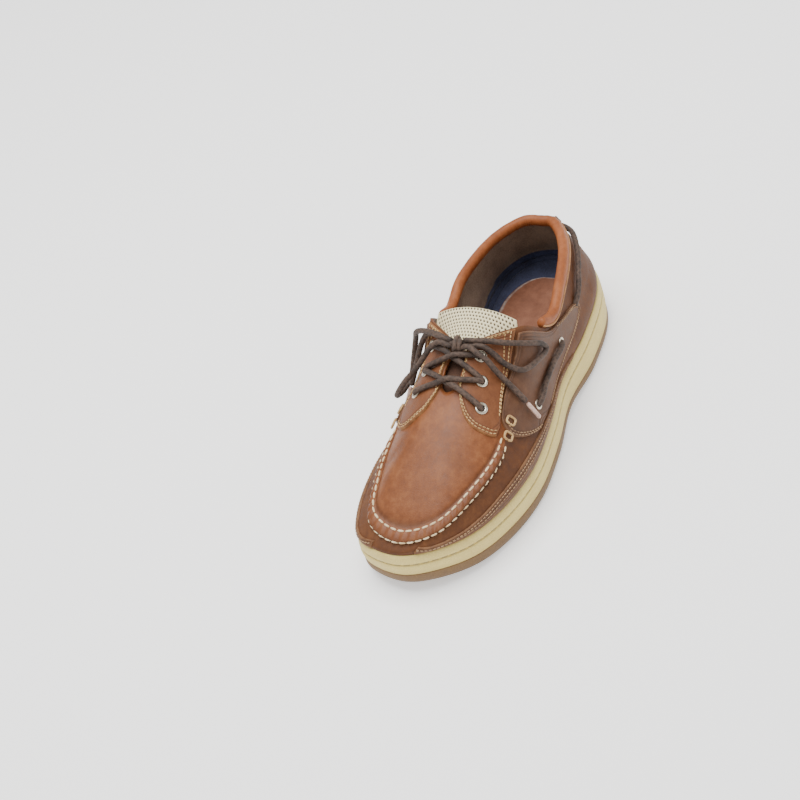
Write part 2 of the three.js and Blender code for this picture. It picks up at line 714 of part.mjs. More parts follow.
add('heel_lace', cordGeometry(heelRows, LACE_RADIUS, 18), 'lace');
add('knot', new THREE.SphereGeometry(1, 10, 8).scale(KNOT.long, KNOT.wide, KNOT.tall)
  .translate(KNOT.x, KNOT.y, KNOT.z), 'lace');
add('bow_loop_lateral', cordGeometry(cordPoints(LOOP_LATERAL, false), LACE_RADIUS, 18), 'lace');
add('bow_loop_medial', cordGeometry(cordPoints(LOOP_MEDIAL, false), LACE_RADIUS, 20), 'lace');
add('lace_end_lateral', cordGeometry(cordPoints(END_LATERAL, false), LACE_RADIUS, 9), 'lace');
add('lace_end_medial', cordGeometry(cordPoints(END_MEDIAL, false), LACE_RADIUS, 9), 'lace');
add('aglet_lateral', cordGeometry(cordPoints(AGLET_LATERAL, false), LACE_RADIUS, 2), 'tip');
add('aglet_medial', cordGeometry(cordPoints(AGLET_MEDIAL, false), LACE_RADIUS, 2), 'tip');

// stand the shoe on the origin: middle of its box, lowest point at zero
const FREE = ['knot', 'bow_loop', 'lace_end', 'aglet'];
const box = new THREE.Box3();
shoe.children.filter((mesh) => !FREE.some((word) => mesh.name.startsWith(word)))
  .forEach((mesh) => box.expandByObject(mesh));
const middle = box.getCenter(new THREE.Vector3());
shoe.position.set(-middle.x, -middle.y, -box.min.z);

export default shoe;
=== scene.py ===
"""Left boat shoe, dressed: leather, stitching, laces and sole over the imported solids.

Shapes are worked out in millimetres in the last's own frame (heel at x 0, toe at +X, lateral side at +Y) and
moved into the row frame, in metres, when a mesh is made. A station s runs 0 to 20 round the shoe (0 heel,
10 toe, lateral side first) and a rise v runs 0 to 2 up the upper (1 is the moc seam, 2 the opening edge).
"""

import math

import bpy
import numpy as np
from mathutils import Matrix, Vector


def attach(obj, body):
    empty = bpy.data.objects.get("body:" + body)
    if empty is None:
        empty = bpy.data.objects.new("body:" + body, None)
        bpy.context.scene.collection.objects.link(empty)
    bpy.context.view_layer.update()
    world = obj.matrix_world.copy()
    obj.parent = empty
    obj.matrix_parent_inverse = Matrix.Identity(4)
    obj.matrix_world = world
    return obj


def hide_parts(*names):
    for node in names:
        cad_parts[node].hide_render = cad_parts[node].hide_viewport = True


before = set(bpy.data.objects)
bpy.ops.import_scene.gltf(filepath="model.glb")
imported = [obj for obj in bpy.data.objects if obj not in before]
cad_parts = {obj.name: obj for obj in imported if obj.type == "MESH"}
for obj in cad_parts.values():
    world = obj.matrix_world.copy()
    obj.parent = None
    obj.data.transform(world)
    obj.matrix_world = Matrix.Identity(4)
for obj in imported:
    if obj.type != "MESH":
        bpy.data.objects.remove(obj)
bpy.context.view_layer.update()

MM = 0.001
ROW_SHIFT = np.array([150.0, 5.0393, 0.0])
BODY = "root"

# sizes of the last, the sole and the leather
LENGTH = 300.0
BALL_WIDTH = 103.0
SOLE_HEIGHT = 28.0
INSTEP_HEIGHT = 96.0
STATIONS = 20
WALL = 2.2
GAP = 0.3
PANEL_TOP = 1.75
FOXING_TOP = 1.25
LEDGE = 2.0
RIM = 6.5
CUP_INSET = 5.0
INSOLE_THICK = 4.0
TONGUE_THICK = 4.4
ROLL_HALF_WIDE = 3.8
ROLL_HALF_TALL = 4.2
ROLL_REACH = 4.35
LACE_RADIUS = 1.95
SEAM_HEIGHT = 1.9
SEAM_HALF = 0.085
SEAM_FROM = 6.5
SEAM_FULL = 6.9
WALL_BULGE = 0.5
SHOULDER_LEAN = 0.5
PLUG_CROWN = 0.18
MOC_PITCH = 5.6
UP = np.array([0.0, 0.0, 1.0])

# sole sections: length share, lateral and medial half width, then ground, tread and deck height
SOLE = np.array([
    [0.000, 0.010, -0.010, 0.071, 0.268, 1.000],
    [0.027, 0.238, 0.243, 0.029, 0.268, 0.982],
    [0.120, 0.403, 0.379, 0.000, 0.268, 0.957],
    [0.267, 0.466, 0.364, 0.000, 0.304, 0.911],
    [0.417, 0.466, 0.330, 0.125, 0.375, 0.857],
    [0.550, 0.529, 0.359, 0.000, 0.339, 0.804],
    [0.683, 0.563, 0.437, 0.000, 0.339, 0.768],
    [0.800, 0.510, 0.466, 0.018, 0.375, 0.768],
    [0.900, 0.388, 0.417, 0.107, 0.446, 0.821],
    [0.970, 0.189, 0.301, 0.232, 0.571, 0.911],
    [1.000, -0.029, 0.029, 0.304, 0.625, 0.964],
])
GROUND, TREAD, DECK = 3, 4, 5

# shoulder of the last: length share, lateral and medial half width, height
SHOULDER = np.array([
    [0.017, 0.010, -0.010, 0.542],
    [0.040, 0.214, 0.218, 0.542],
    [0.127, 0.364, 0.350, 0.536],
    [0.267, 0.432, 0.350, 0.531],
    [0.417, 0.447, 0.320, 0.552],
    [0.540, 0.466, 0.311, 0.604],
    [0.650, 0.444, 0.327, 0.625],
    [0.757, 0.452, 0.327, 0.562],
    [0.850, 0.377, 0.301, 0.510],
    [0.938, 0.233, 0.233, 0.448],
    [0.973, 0.000, 0.000, 0.417],
])

# opening edge: collar, facing tops and throat; same columns as the shoulder
EDGE = np.array([
    [0.046, 0.007, -0.007, 0.769],
    [0.060, 0.141, 0.160, 0.771],
    [0.140, 0.291, 0.301, 0.765],
    [0.267, 0.393, 0.350, 0.750],
    [0.383, 0.427, 0.325, 0.729],
    [0.477, 0.379, 0.267, 0.979],
    [0.550, 0.131, 0.015, 0.995],
    [0.617, 0.121, 0.000, 0.922],
    [0.647, 0.112, -0.010, 0.885],
    [0.658, 0.087, -0.034, 0.870],
    [0.662, 0.058, -0.058, 0.865],
])

# panels: rise, station at the back, station in front
EYESTAY_LATERAL = np.array([
    [1.14, 6.50, 6.72], [1.22, 6.12, 6.92], [1.34, 5.74, 7.16], [1.50, 5.46, 7.50],
    [1.66, 5.32, 7.76], [1.80, 5.22, 7.84], [1.90, 5.16, 7.68], [1.98, 5.12, 7.40],
])
EYESTAY_MEDIAL = np.array([
    [1.14, 6.50, 6.72], [1.22, 6.12, 6.98], [1.34, 5.74, 7.36], [1.50, 5.46, 7.80],
    [1.66, 5.32, 8.14], [1.80, 5.22, 8.46], [1.90, 5.16, 8.40], [1.98, 5.12, 8.00],
])
QUARTER = np.array([
    [0.40, 4.86, 5.46], [0.47, 4.34, 5.66], [0.60, 3.72, 5.92], [0.79, 3.16, 6.18],
    [1.00, 2.86, 6.33], [1.12, 2.84, 6.34], [1.22, 2.90, 6.00], [1.34, 3.04, 5.66],
    [1.50, 3.30, 5.39], [1.72, 3.60, 5.21], [1.90, 3.80, 5.09],
])
# foxing strip: station, lower rise, upper rise
FOXING = np.array([
    [3.50, 0.03, 0.16], [4.05, 0.03, 0.30], [5.02, 0.02, 0.33], [5.56, 0.02, 0.36],
    [6.34, 0.02, 0.39], [7.08, 0.02, 0.43], [7.78, 0.02, 0.36], [8.26, 0.02, 0.31],
    [9.00, 0.02, 0.33], [9.40, 0.08, 0.56],
])
HEEL_TAB_HALF = 0.4
HEEL_TAB_RISES = (0.32, 1.96)
HEEL_LACE_RISE = 1.66
HEEL_LACE_BAND = 0.2

# lace holes: station, rise
EYELETS = {
    "eyelet_lateral_1": (6.84, 1.49),
    "eyelet_lateral_2": (6.34, 1.60),
    "eyelet_lateral_3": (5.98, 1.79),
    "eyelet_medial_1": (13.44, 1.47),
    "eyelet_medial_2": (13.90, 1.55),
    "eyelet_medial_3": (14.38, 1.74),
    "eyelet_side_lateral_rear": (3.76, 1.12),
    "eyelet_side_lateral_front": (5.20, 0.72),
    "eyelet_side_medial_rear": (16.24, 1.12),
    "eyelet_side_medial_front": (14.80, 0.72),
}
# lace over the throat: eyelet left, throat edges crossed, eyelet reached, height in the middle
LACE_RUNS = [
    ("eyelet_lateral_1", 8.0, 12.65, "eyelet_medial_2", 3.0),
    ("eyelet_medial_1", 12.2, 7.4, "eyelet_lateral_2", 6.4),
    ("eyelet_lateral_2", 6.7, 13.67, "eyelet_medial_3", 3.0),
    ("eyelet_medial_2", 13.4, 6.4, "eyelet_lateral_3", 6.2),
]
# free cords of the bow: station, rise, height above the leather
LOOP_LATERAL = np.array([
    [5.98, 1.98, 7.2], [5.68, 1.90, 6.0], [5.40, 1.80, 5.2], [5.04, 1.70, 4.8],
    [4.68, 1.62, 4.8], [4.54, 1.50, 4.8], [4.86, 1.38, 4.8], [5.32, 1.37, 4.8],
    [5.60, 1.54, 5.2], [5.72, 1.72, 6.0], [5.86, 1.86, 7.4],
])
LOOP_MEDIAL = np.array([
    [14.02, 1.98, 8.8], [14.40, 1.93, 9.2], [14.80, 1.80, 8.8], [15.06, 1.58, 9.0],
    [15.10, 1.25, 11.0], [14.98, 0.88, 12.0], [14.70, 0.70, 12.0], [14.36, 0.86, 11.0],
    [14.14, 1.22, 8.4], [14.04, 1.46, 7.4], [14.00, 1.64, 8.4], [13.98, 1.78, 9.6],
    [13.94, 1.92, 9.0],
])
END_LATERAL = np.array([
    [6.22, 1.96, 8.6], [6.12, 1.82, 9.6], [6.00, 1.68, 9.4], [5.90, 1.54, 6.8],
    [5.80, 1.40, 5.0], [5.70, 1.24, 4.9], [5.56, 1.02, 4.9],
])
END_MEDIAL = np.array([
    [14.14, 1.98, 4.9], [14.40, 1.93, 4.9], [14.62, 1.82, 4.9], [14.70, 1.62, 4.9],
    [14.66, 1.36, 4.9], [14.62, 1.16, 4.9], [14.58, 1.02, 4.9],
])
AGLET_LATERAL = np.array([[5.555, 1.006, 4.9], [5.45, 0.59, 4.6]])
AGLET_MEDIAL = np.array([[14.577, 1.006, 4.9], [14.50, 0.59, 4.6]])
KNOT_CENTRE = np.array([170.0, 6.5, 99.2])
SIDE_LACE = np.array([
    [3.76, 1.12, -2.0], [3.77, 1.12, 2.6], [3.90, 1.11, 4.3], [4.20, 1.06, 3.9], [4.74, 0.91, 3.9],
    [5.05, 0.785, 4.3], [5.19, 0.725, 2.6], [5.20, 0.72, -2.0],
])
HEEL_LACE = np.array([
    [2.98, 1.20, 0.6], [2.74, 1.34, 2.4], [2.40, 1.56, 2.6], [1.80, 1.68, 2.6], [1.00, 1.66, 2.6],
    [0.00, 1.66, 2.6],
])
# tongue, front to top: place along the length, height, half width, drop at its sides
TONGUE = np.array([
    [218, 70.8, 9, 2], [205, 75.4, 13, 3.5], [190, 80.4, 17, 6], [175, 85.7, 21, 9.5],
    [160, 91.1, 26, 12.8], [150, 95.8, 29, 13.5], [143, 99.8, 30, 10.5], [139, 102.4, 29, 7.5],
], float)
THROAT_CENTRE = 6.0

# soft creases: two ends (station, rise), depth in mm (minus is a ridge), half width in mm
CREASES = [
    ((7.75, 1.10), (8.9, 1.60), 0.55, 4.5),
    ((8.15, 1.08), (9.3, 1.42), -0.35, 4.0),
    ((12.3, 1.08), (11.3, 1.55), 0.5, 4.5),
    ((7.6, 0.55), (7.9, 0.90), 0.5, 4.0),
    ((8.1, 0.55), (8.3, 0.88), 0.4, 3.5),
    ((12.2, 0.55), (12.0, 0.90), 0.5, 4.0),
    ((2.2, 0.5), (2.5, 1.15), 0.5, 5.0),
    ((17.8, 0.5), (17.5, 1.15), 0.5, 5.0),
    ((9.4, 1.12), (10.6, 1.12), 0.4, 4.0),
]


# camera at the photograph's angle, in the last's frame
CAMERA_AZIMUTH = 38.02
CAMERA_ELEVATION = 39.58
CAMERA_ROLL = 20.54
CAMERA_DISTANCE = 1364.64
CAMERA_TARGET = np.array([168.76, -55.38, 40.0])
CAMERA_LENS = 90.0
CAMERA_SENSOR = 36.0


def row_frame(points):
    """Last's frame in mm to row frame in metres: subtract the row's shift, scale by a thousandth."""
    return (np.asarray(points, float) - ROW_SHIFT) * MM


def camera_axes():
    """Right, down and forward of the rolled camera, from its azimuth, elevation and roll."""
    turn, lift, roll = np.radians([CAMERA_AZIMUTH, CAMERA_ELEVATION, CAMERA_ROLL])
    forward = -np.array([math.cos(turn) * math.cos(lift), math.sin(turn) * math.cos(lift), math.sin(lift)])
    level = np.cross(forward, UP)
    level /= np.linalg.norm(level)
    down = np.cross(forward, level)
    right = math.cos(roll) * level + math.sin(roll) * down
    low = -math.sin(roll) * level + math.cos(roll) * down
    return right, low, forward


def set_camera():
    """Camera on the photograph's line of sight, its axes as the columns of its matrix."""
    right, low, forward = camera_axes()
    lens = bpy.data.cameras.new("photo_camera")
    lens.lens = CAMERA_LENS
    lens.sensor_width = CAMERA_SENSOR
    lens.clip_start = 0.05
    lens.clip_end = 50.0
    camera = bpy.data.objects.new("photo_camera", lens)
    bpy.context.scene.collection.objects.link(camera)
    place = row_frame(CAMERA_TARGET - forward * CAMERA_DISTANCE)
    columns = np.stack([right, -low, -forward], 1)
    pose = np.eye(4)
    pose[:3, :3] = columns
    pose[:3, 3] = place
    camera.matrix_world = Matrix(pose.tolist())
    bpy.context.scene.camera = camera


set_camera()


def smoothstep(x, low, high):
    """Cubic ease from 0 at low to 1 at high."""
    t = np.clip((x - low) / (high - low), 0.0, 1.0)
    return t * t * (3.0 - 2.0 * t)


def unit(v):
    """Vectors scaled to length one."""
    return v / np.maximum(np.linalg.norm(v, axis=-1, keepdims=True), 1e-9)


def run_lengths(points):
    """Running length along a polyline, from 0."""
    return np.concatenate([[0.0], np.cumsum(np.linalg.norm(np.diff(points, axis=0), axis=1))])


def read_at(at, lengths, values):
    """Each column of values read between its rows at the given lengths."""
    return np.stack([np.interp(at, lengths, column) for column in values.T], 1)


def hermite(start, leave, end, arrive, t):
    """Cubic between two points with a tangent at each."""
    t = np.asarray(t)[..., None]
    return ((2 * t**3 - 3 * t**2 + 1) * start + (t**3 - 2 * t**2 + t) * leave
            + (3 * t**2 - 2 * t**3) * end + (t**3 - t**2) * arrive)


def ring_points(rows, column, scale):
    """Closed ring: lateral points from heel to toe, then the medial points back."""
    x = rows[:, 0] * LENGTH
    z = rows[:, column] * scale
    lateral = np.stack([x, rows[:, 1] * BALL_WIDTH, z], 1)
    medial = np.stack([x, -rows[:, 2] * BALL_WIDTH, z], 1)
    return np.concatenate([lateral, medial[-2:0:-1]])


GROUND_RING = ring_points(SOLE, GROUND, SOLE_HEIGHT)
TREAD_RING = ring_points(SOLE, TREAD, SOLE_HEIGHT)
DECK_RING = ring_points(SOLE, DECK, SOLE_HEIGHT)
RIM_RING = DECK_RING + UP * RIM
SHOULDER_RING = ring_points(SHOULDER, 3, INSTEP_HEIGHT)
EDGE_RING = ring_points(EDGE, 3, INSTEP_HEIGHT)


def along(ring, s):
    """Uniform Catmull-Rom spline round a closed ring, read at station s."""
    s = np.asarray(s, float)
    k = np.floor(s).astype(int)
    t = (s - k)[..., None]
    a, b, c, d = (ring[(k + j) % len(ring)] for j in (-1, 0, 1, 2))
    return 0.5 * (2 * b + (c - a) * t + (2 * a - 5 * b + 4 * c - d) * t**2 + (3 * b - a - 3 * c + d) * t**3)


def run_through(rows, t):
    """Centripetal Catmull-Rom through table rows, read at 0 to 1; knots spaced by the root of each chord."""
    rows = np.asarray(rows, float)
    points = np.vstack([2 * rows[0] - rows[1], rows, 2 * rows[-1] - rows[-2]])
    u = np.clip(np.asarray(t, float), 0.0, 1.0) * (len(rows) - 1)
    k = np.minimum(u.astype(int), len(rows) - 2)
    p0, p1, p2, p3 = (points[k + j] for j in range(4))
    chord = [np.sqrt(np.maximum(np.linalg.norm(q - p, axis=-1, keepdims=True), 1e-6))
             for p, q in ((p0, p1), (p1, p2), (p2, p3))]
    leave = ((p1 - p0) / chord[0] - (p2 - p0) / (chord[0] + chord[1]) + (p2 - p1) / chord[1]) * chord[1]
    arrive = ((p2 - p1) / chord[1] - (p3 - p1) / (chord[1] + chord[2]) + (p3 - p2) / chord[2]) * chord[1]
    return hermite(p1, leave, p2, arrive, u - k)


def outward(s):
    """Level outward direction of the sole outline: its run turned a quarter."""
    run = along(GROUND_RING, np.asarray(s) + 0.001) - along(GROUND_RING, np.asarray(s) - 0.001)
    flat = unit(run[..., :2])
    return np.stack([-flat[..., 1], flat[..., 0], np.zeros_like(flat[..., 0])], -1)


def sole_at(ring, s, out):
    """Point of a sole ring moved out from the outline by out mm."""
    return along(ring, s) + outward(s) * np.asarray(out)[..., None]


def upper_at(s, v):
    """Upper's surface: cubic wall from feather to shoulder, then a crowned cubic from shoulder to edge."""
    s, v = np.broadcast_arrays(np.asarray(s, float), np.asarray(v, float))
    feather = sole_at(RIM_RING, s, np.full(s.shape, -LEDGE)) + UP * GAP
    shoulder = along(SHOULDER_RING, s)
    edge = along(EDGE_RING, s)
    height = np.linalg.norm(shoulder - feather, axis=-1, keepdims=True)
    reach = np.linalg.norm(edge - shoulder, axis=-1, keepdims=True)
    lid = (edge - shoulder) / reach
    lean = unit(UP * (1 - SHOULDER_LEAN) + lid * SHOULDER_LEAN) * height
    wall = hermite(feather, (outward(s) * WALL_BULGE + UP) * height, shoulder, lean, np.clip(v, 0, 1))
    top = hermite(shoulder, (lid + UP * PLUG_CROWN) * reach, edge, (lid - UP * PLUG_CROWN) * reach,
                  np.clip(v - 1, 0, 1))
    return np.where((v <= 1)[..., None], wall, top)


def upper_normal(s, v):
    """Outward normal of the upper: rise direction crossed with run direction."""
    s, v = np.broadcast_arrays(np.asarray(s, float), np.asarray(v, float))
    rise = upper_at(s, np.minimum(v + 0.001, 2)) - upper_at(s, np.maximum(v - 0.001, 0))
    run = upper_at(s + 0.001, v) - upper_at(s - 0.001, v)
    return unit(np.cross(rise, run))


def leather(s, v, lift):
    """Point lifted off the upper's surface along its normal."""
    return upper_at(s, v) + upper_normal(s, v) * np.asarray(lift, float)[..., None]


def side_of(s):
    """Station counted from the heel on either side, 0 to 10."""
    s = np.asarray(s, float) % STATIONS
    return np.minimum(s, STATIONS - s)


def mirrored(rows, medial):
    """Table rows with their first column (a station) moved to the medial side."""
    rows = np.array(rows, float)
    if medial:
        rows[:, 0] = STATIONS - rows[:, 0]
    return rows


def seam_fade(s):
    """1 along the moc seam in front, easing to 0 at its two ends."""
    return smoothstep(side_of(s), SEAM_FROM, SEAM_FULL)


def seam_arc():
    """Length along the moc seam in mm against station, as a table to interpolate in."""
    s = np.linspace(6.0, 14.0, 801)
    points = upper_at(s, np.ones_like(s))
    return s, run_lengths(points)


SEAM_STATIONS, SEAM_LENGTHS = seam_arc()


# meshes

def make_piece(name, verts, faces, material, node_names=(), slot=None, marks=None):
    """Mesh object in the row frame, riding the shoe, from points in mm, faces and per-point marks."""
    mesh = bpy.data.meshes.new(name)
    mesh.from_pydata(row_frame(verts).tolist(), [], faces)
    mesh.update()
    mesh.polygons.foreach_set("use_smooth", np.ones(len(mesh.polygons), bool))
    for mark, values in (marks or {}).items():
        layer = mesh.attributes.new(mark, "FLOAT", "POINT")
        layer.data.foreach_set("value", np.asarray(values, np.float32).ravel())
    for item in material if isinstance(material, (list, tuple)) else [material]:
        mesh.materials.append(item)
    piece = bpy.data.objects.new(name, mesh)
    bpy.context.scene.collection.objects.link(piece)
    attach(piece, BODY)
    if node_names:
        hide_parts(*node_names)
    return piece


def grid_faces(rows, columns, close_rows=False, close_columns=False, flip=False, start=0):
    """Quads of a grid whose point (r, c) has number r * columns + c."""
    r = np.arange(rows if close_rows else rows - 1)[:, None]
    c = np.arange(columns if close_columns else columns - 1)[None, :]
    r2, c2 = (r + 1) % rows, (c + 1) % columns
    corners = [r * columns + c, r * columns + c2, r2 * columns + c2, r2 * columns + c]
    quads = np.stack(np.broadcast_arrays(*corners), -1).reshape(-1, 4) + start
    return (quads[:, ::-1] if flip else quads).tolist()


def tube_faces(rings, sides):
    """Closed tube: quads between its rings and one flat face at each end."""
    last = (rings - 1) * sides
    ends = [list(range(sides))[::-1], list(range(last, last + sides))]
    return grid_faces(rings, sides, close_columns=True) + ends


def slab_faces(rows, columns, flip):
    """Closed slab of two equal grids, one after the other: both faces and a skirt round their rims."""
    count = rows * columns
    rim = np.concatenate([np.arange(columns), np.arange(1, rows) * columns + columns - 1,
                          (rows - 1) * columns + np.arange(columns - 2, -1, -1),
                          np.arange(rows - 2, 0, -1) * columns])
    after = np.roll(rim, -1)
    skirt = np.stack([rim, rim + count, after + count, after], 1)
    faces = grid_faces(rows, columns, flip=flip) + grid_faces(rows, columns, flip=not flip, start=count)
    return faces + (skirt[:, ::-1] if flip else skirt).tolist()


def rung_faces(start, count, flip):
    """Cap of a foot-shaped ring: quads between its lateral and medial points, triangles at heel and toe."""
    half = count // 2
    ids = [start + k for k in range(count)]
    faces = [[ids[0], ids[1], ids[-1]], [ids[half - 1], ids[half], ids[half + 1]]]
    faces += [[ids[k], ids[k + 1], ids[-k - 1], ids[-k]] for k in range(1, half - 1)]
    return [f[::-1] for f in faces] if flip else faces


def lengths_along(points, axis):
    """Running length of a grid of points along one axis."""
    steps = np.linalg.norm(np.diff(points, axis=axis), axis=-1)
    pad = [(0, 0), (0, 0)]
    pad[axis] = (1, 0)
    return np.pad(np.cumsum(steps, axis=axis), pad)


def resampled(points, step):
    """Polyline read again at even lengths close to step."""
    run = run_lengths(points)
    count = max(int(round(run[-1] / step)), 2)
    at = np.linspace(0.0, run[-1], count + 1)
    return read_at(at, run, points)


# materials

def tint(code):
    """Linear colour from a hex sRGB code."""
    channels = np.array([int(code[k:k + 2], 16) for k in (0, 2, 4)]) / 255.0
    line = np.where(channels <= 0.04045, channels / 12.92, ((channels + 0.055) / 1.055) ** 2.4)
    return (*line.tolist(), 1.0)


def wire(tree, kind, inputs=None, **settings):
    """New node with its settings; an input is a value or another node's socket."""
    node = tree.nodes.new(kind)
    for key, value in settings.items():
        setattr(node, key, value)
    for key, value in (inputs or {}).items():
        if isinstance(value, bpy.types.NodeSocket):
            tree.links.new(value, node.inputs[key])
        else:
            node.inputs[key].default_value = value
    return node


def start_finish(name):
    """Empty material: its tree, its shader and the object coordinates."""
    material = bpy.data.materials.new(name)
    material.use_nodes = True
    tree = material.node_tree
    shader = tree.nodes["Principled BSDF"]
    coords = tree.nodes.new("ShaderNodeTexCoord").outputs["Object"]
    return material, tree, shader, coords


def ramp(tree, factor, stops):
    """Colour ramp through (place, colour) stops."""
    node = wire(tree, "ShaderNodeValToRGB", {"Fac": factor})
    items = node.color_ramp.elements
    while len(items) < len(stops):
        items.new(0.5)
    for item, (place, colour) in zip(items, stops):
        item.position = place
        item.color = colour
    return node.outputs["Color"]


def blend(tree, factor, first, second, mode="MIX"):
    """Colour mix of two sockets or colours."""
    node = wire(tree, "ShaderNodeMix", {0: factor, 6: first, 7: second}, data_type="RGBA", blend_type=mode)
    return node.outputs[2]


def ranged(tree, value, low, high, to_low, to_high):
    """Value carried from one range into another, held at the ends."""
    node = wire(tree, "ShaderNodeMapRange", {"Value": value, "From Min": low, "From Max": high,
                                             "To Min": to_low, "To Max": to_high})
    return node.outputs["Result"]


def mark(tree, name):
    """Per-point value of the mesh."""
    return wire(tree, "ShaderNodeAttribute", attribute_name=name).outputs["Fac"]


def noise(tree, coords, scale, detail, roughness=0.5):
    """Cloudy noise of the given scale, 0 to 1."""
    node = wire(tree, "ShaderNodeTexNoise", {"Vector": coords, "Scale": scale, "Detail": detail,
                                             "Roughness": roughness})
    return node.outputs["Fac"]


def combine(tree, operation, *values):
    """Sum, product or other arithmetic of sockets and numbers."""
    return wire(tree, "ShaderNodeMath", dict(enumerate(values)), operation=operation).outputs[0]


PORE_SCALE = 1300.0
GRAIN_BUMP = 0.35
WALL_DULLER = 0.2


def leather_finish(name, dark, mid, light, rough=(0.46, 0.64), wear=None, shade=None, second=None):
    """Grained leather: blotchy tone in three steps, pores, worn edges (mark edge), painted shade in creases,
    stitch grooves and along seams (a per-point mark) and a second, duller tone (mark region), on the upper's
    walls partly painted shade."""
    material, tree, shader, coords = start_finish(name)
    clouds = noise(tree, coords, 34.0, 4.0, 0.6)
    streaks = noise(tree, coords, 210.0, 5.0, 0.65)
    pores = wire(tree, "ShaderNodeTexVoronoi", {"Vector": coords, "Scale": PORE_SCALE},
                 feature="DISTANCE_TO_EDGE").outputs["Distance"]
    mixed = combine(tree, "ADD", clouds, streaks)
    tone = ranged(tree, mixed, 0.6, 1.4, 0.0, 1.0)
    colour = ramp(tree, tone, [(0.0, dark), (0.5, mid), (1.0, light)])
    if second:
        other = ramp(tree, tone, [(0.0, second[0]), (0.5, second[1]), (1.0, second[2])])
        colour = blend(tree, mark(tree, "region"), colour, other)
    pit = ranged(tree, pores, 0.0, 0.12, 0.84, 1.0)
    colour = blend(tree, 1.0, colour, pit, "MULTIPLY")
    if shade:
        # painted shade: the shade colour laid into creases, stitch grooves, the seam trench and ridge, and
        # under the collar roll
        colour = blend(tree, mark(tree, "painted_shade"), colour, shade)
    if wear:
        worn = combine(tree, "MULTIPLY", mark(tree, "edge"), ranged(tree, streaks, 0.35, 0.65, 0.25, 1.0))
        colour = blend(tree, worn, colour, wear)
    tree.links.new(colour, shader.inputs["Base Color"])
    gloss = ranged(tree, streaks, 0.3, 0.7, rough[0], rough[1])
    if second:
        gloss = combine(tree, "MULTIPLY_ADD", mark(tree, "region"), WALL_DULLER, gloss)
    tree.links.new(gloss, shader.inputs["Roughness"])
    shader.inputs["Specular IOR Level"].default_value = 0.3
    fine = wire(tree, "ShaderNodeBump", {"Strength": GRAIN_BUMP, "Distance": 0.0004, "Height": pores})
    coarse = wire(tree, "ShaderNodeBump", {"Strength": GRAIN_BUMP * 0.6, "Distance": 0.0006,
                                           "Height": streaks, "Normal": fine.outputs["Normal"]})
    tree.links.new(coarse.outputs["Normal"], shader.inputs["Normal"])
    return material


def suede_finish(name, dark, light, second=None):
    """Napped lining: soft two-tone mottling and a fine fuzzy bump; mark region turns it to a second cloth."""
    material, tree, shader, coords = start_finish(name)
    nap = noise(tree, coords, 900.0, 3.0)
    clouds = noise(tree, coords, 60.0, 3.0)
    mixed = combine(tree, "ADD", clouds, nap)
    tone = ranged(tree, mixed, 0.75, 1.25, 0.0, 1.0)
    colour = ramp(tree, tone, [(0.0, dark), (1.0, light)])
    if second:
        other = ramp(tree, tone, [(0.0, second[0]), (1.0, second[1])])
        colour = blend(tree, mark(tree, "region"), colour, other)
    tree.links.new(colour, shader.inputs["Base Color"])
    shader.inputs["Roughness"].default_value = 0.9
    shader.inputs["Sheen Weight"].default_value = 0.15
    bump = wire(tree, "ShaderNodeBump", {"Strength": 0.4, "Distance": 0.0004, "Height": nap})
    tree.links.new(bump.outputs["Normal"], shader.inputs["Normal"])
    return material


RUBBER_ROUGH = (0.5, 0.7)


def rubber_finish(name, dark, light, low_dark_groove_shade):
    """Moulded rubber: even tone with faint clouds, fine pitting, a darker tone low on the wall and painted
    shade in its grooves (a per-point mark).
    """
    material, tree, shader, coords = start_finish(name)
    clouds = noise(tree, coords, 45.0, 4.0)
    specks = noise(tree, coords, 1100.0, 2.0)
    mixed = combine(tree, "ADD", clouds, specks)
    tone = ranged(tree, mixed, 0.7, 1.3, 0.0, 1.0)
    colour = ramp(tree, tone, [(0.0, dark), (1.0, light)])
    darkening_share = combine(tree, "MULTIPLY", mark(tree, "low_dark_groove_shade"), ranged(tree, clouds, 0.35, 0.65, 0.3, 1.0))
    colour = blend(tree, darkening_share, colour, low_dark_groove_shade)
    tree.links.new(colour, shader.inputs["Base Color"])
    tree.links.new(ranged(tree, clouds, 0.3, 0.7, *RUBBER_ROUGH), shader.inputs["Roughness"])
    bump = wire(tree, "ShaderNodeBump", {"Strength": 0.25, "Distance": 0.0003, "Height": specks})
    tree.links.new(bump.outputs["Normal"], shader.inputs["Normal"])
    return material


def thread_finish(name, dark, light):
    """Twisted thread or cord: tone by a fine noise and by a per-point mark of painted shade, darker between a
    braid's strands and at a stitch's ends, fuzzy bump.
    """
    material, tree, shader, coords = start_finish(name)
    fibre = noise(tree, coords, 1800.0, 3.0)
    clouds = noise(tree, coords, 120.0, 2.0)
    mixed = combine(tree, "ADD", fibre, clouds)
    tone = ranged(tree, mixed, 0.7, 1.3, 0.0, 1.0)
    thread_shade = combine(tree, "MULTIPLY", tone, mark(tree, "thread_shade"))
    colour = ramp(tree, thread_shade, [(0.0, dark), (1.0, light)])
    tree.links.new(colour, shader.inputs["Base Color"])
    shader.inputs["Roughness"].default_value = 0.75
    bump = wire(tree, "ShaderNodeBump", {"Strength": 0.35, "Distance": 0.0002, "Height": fibre})
    tree.links.new(bump.outputs["Normal"], shader.inputs["Normal"])
    return material


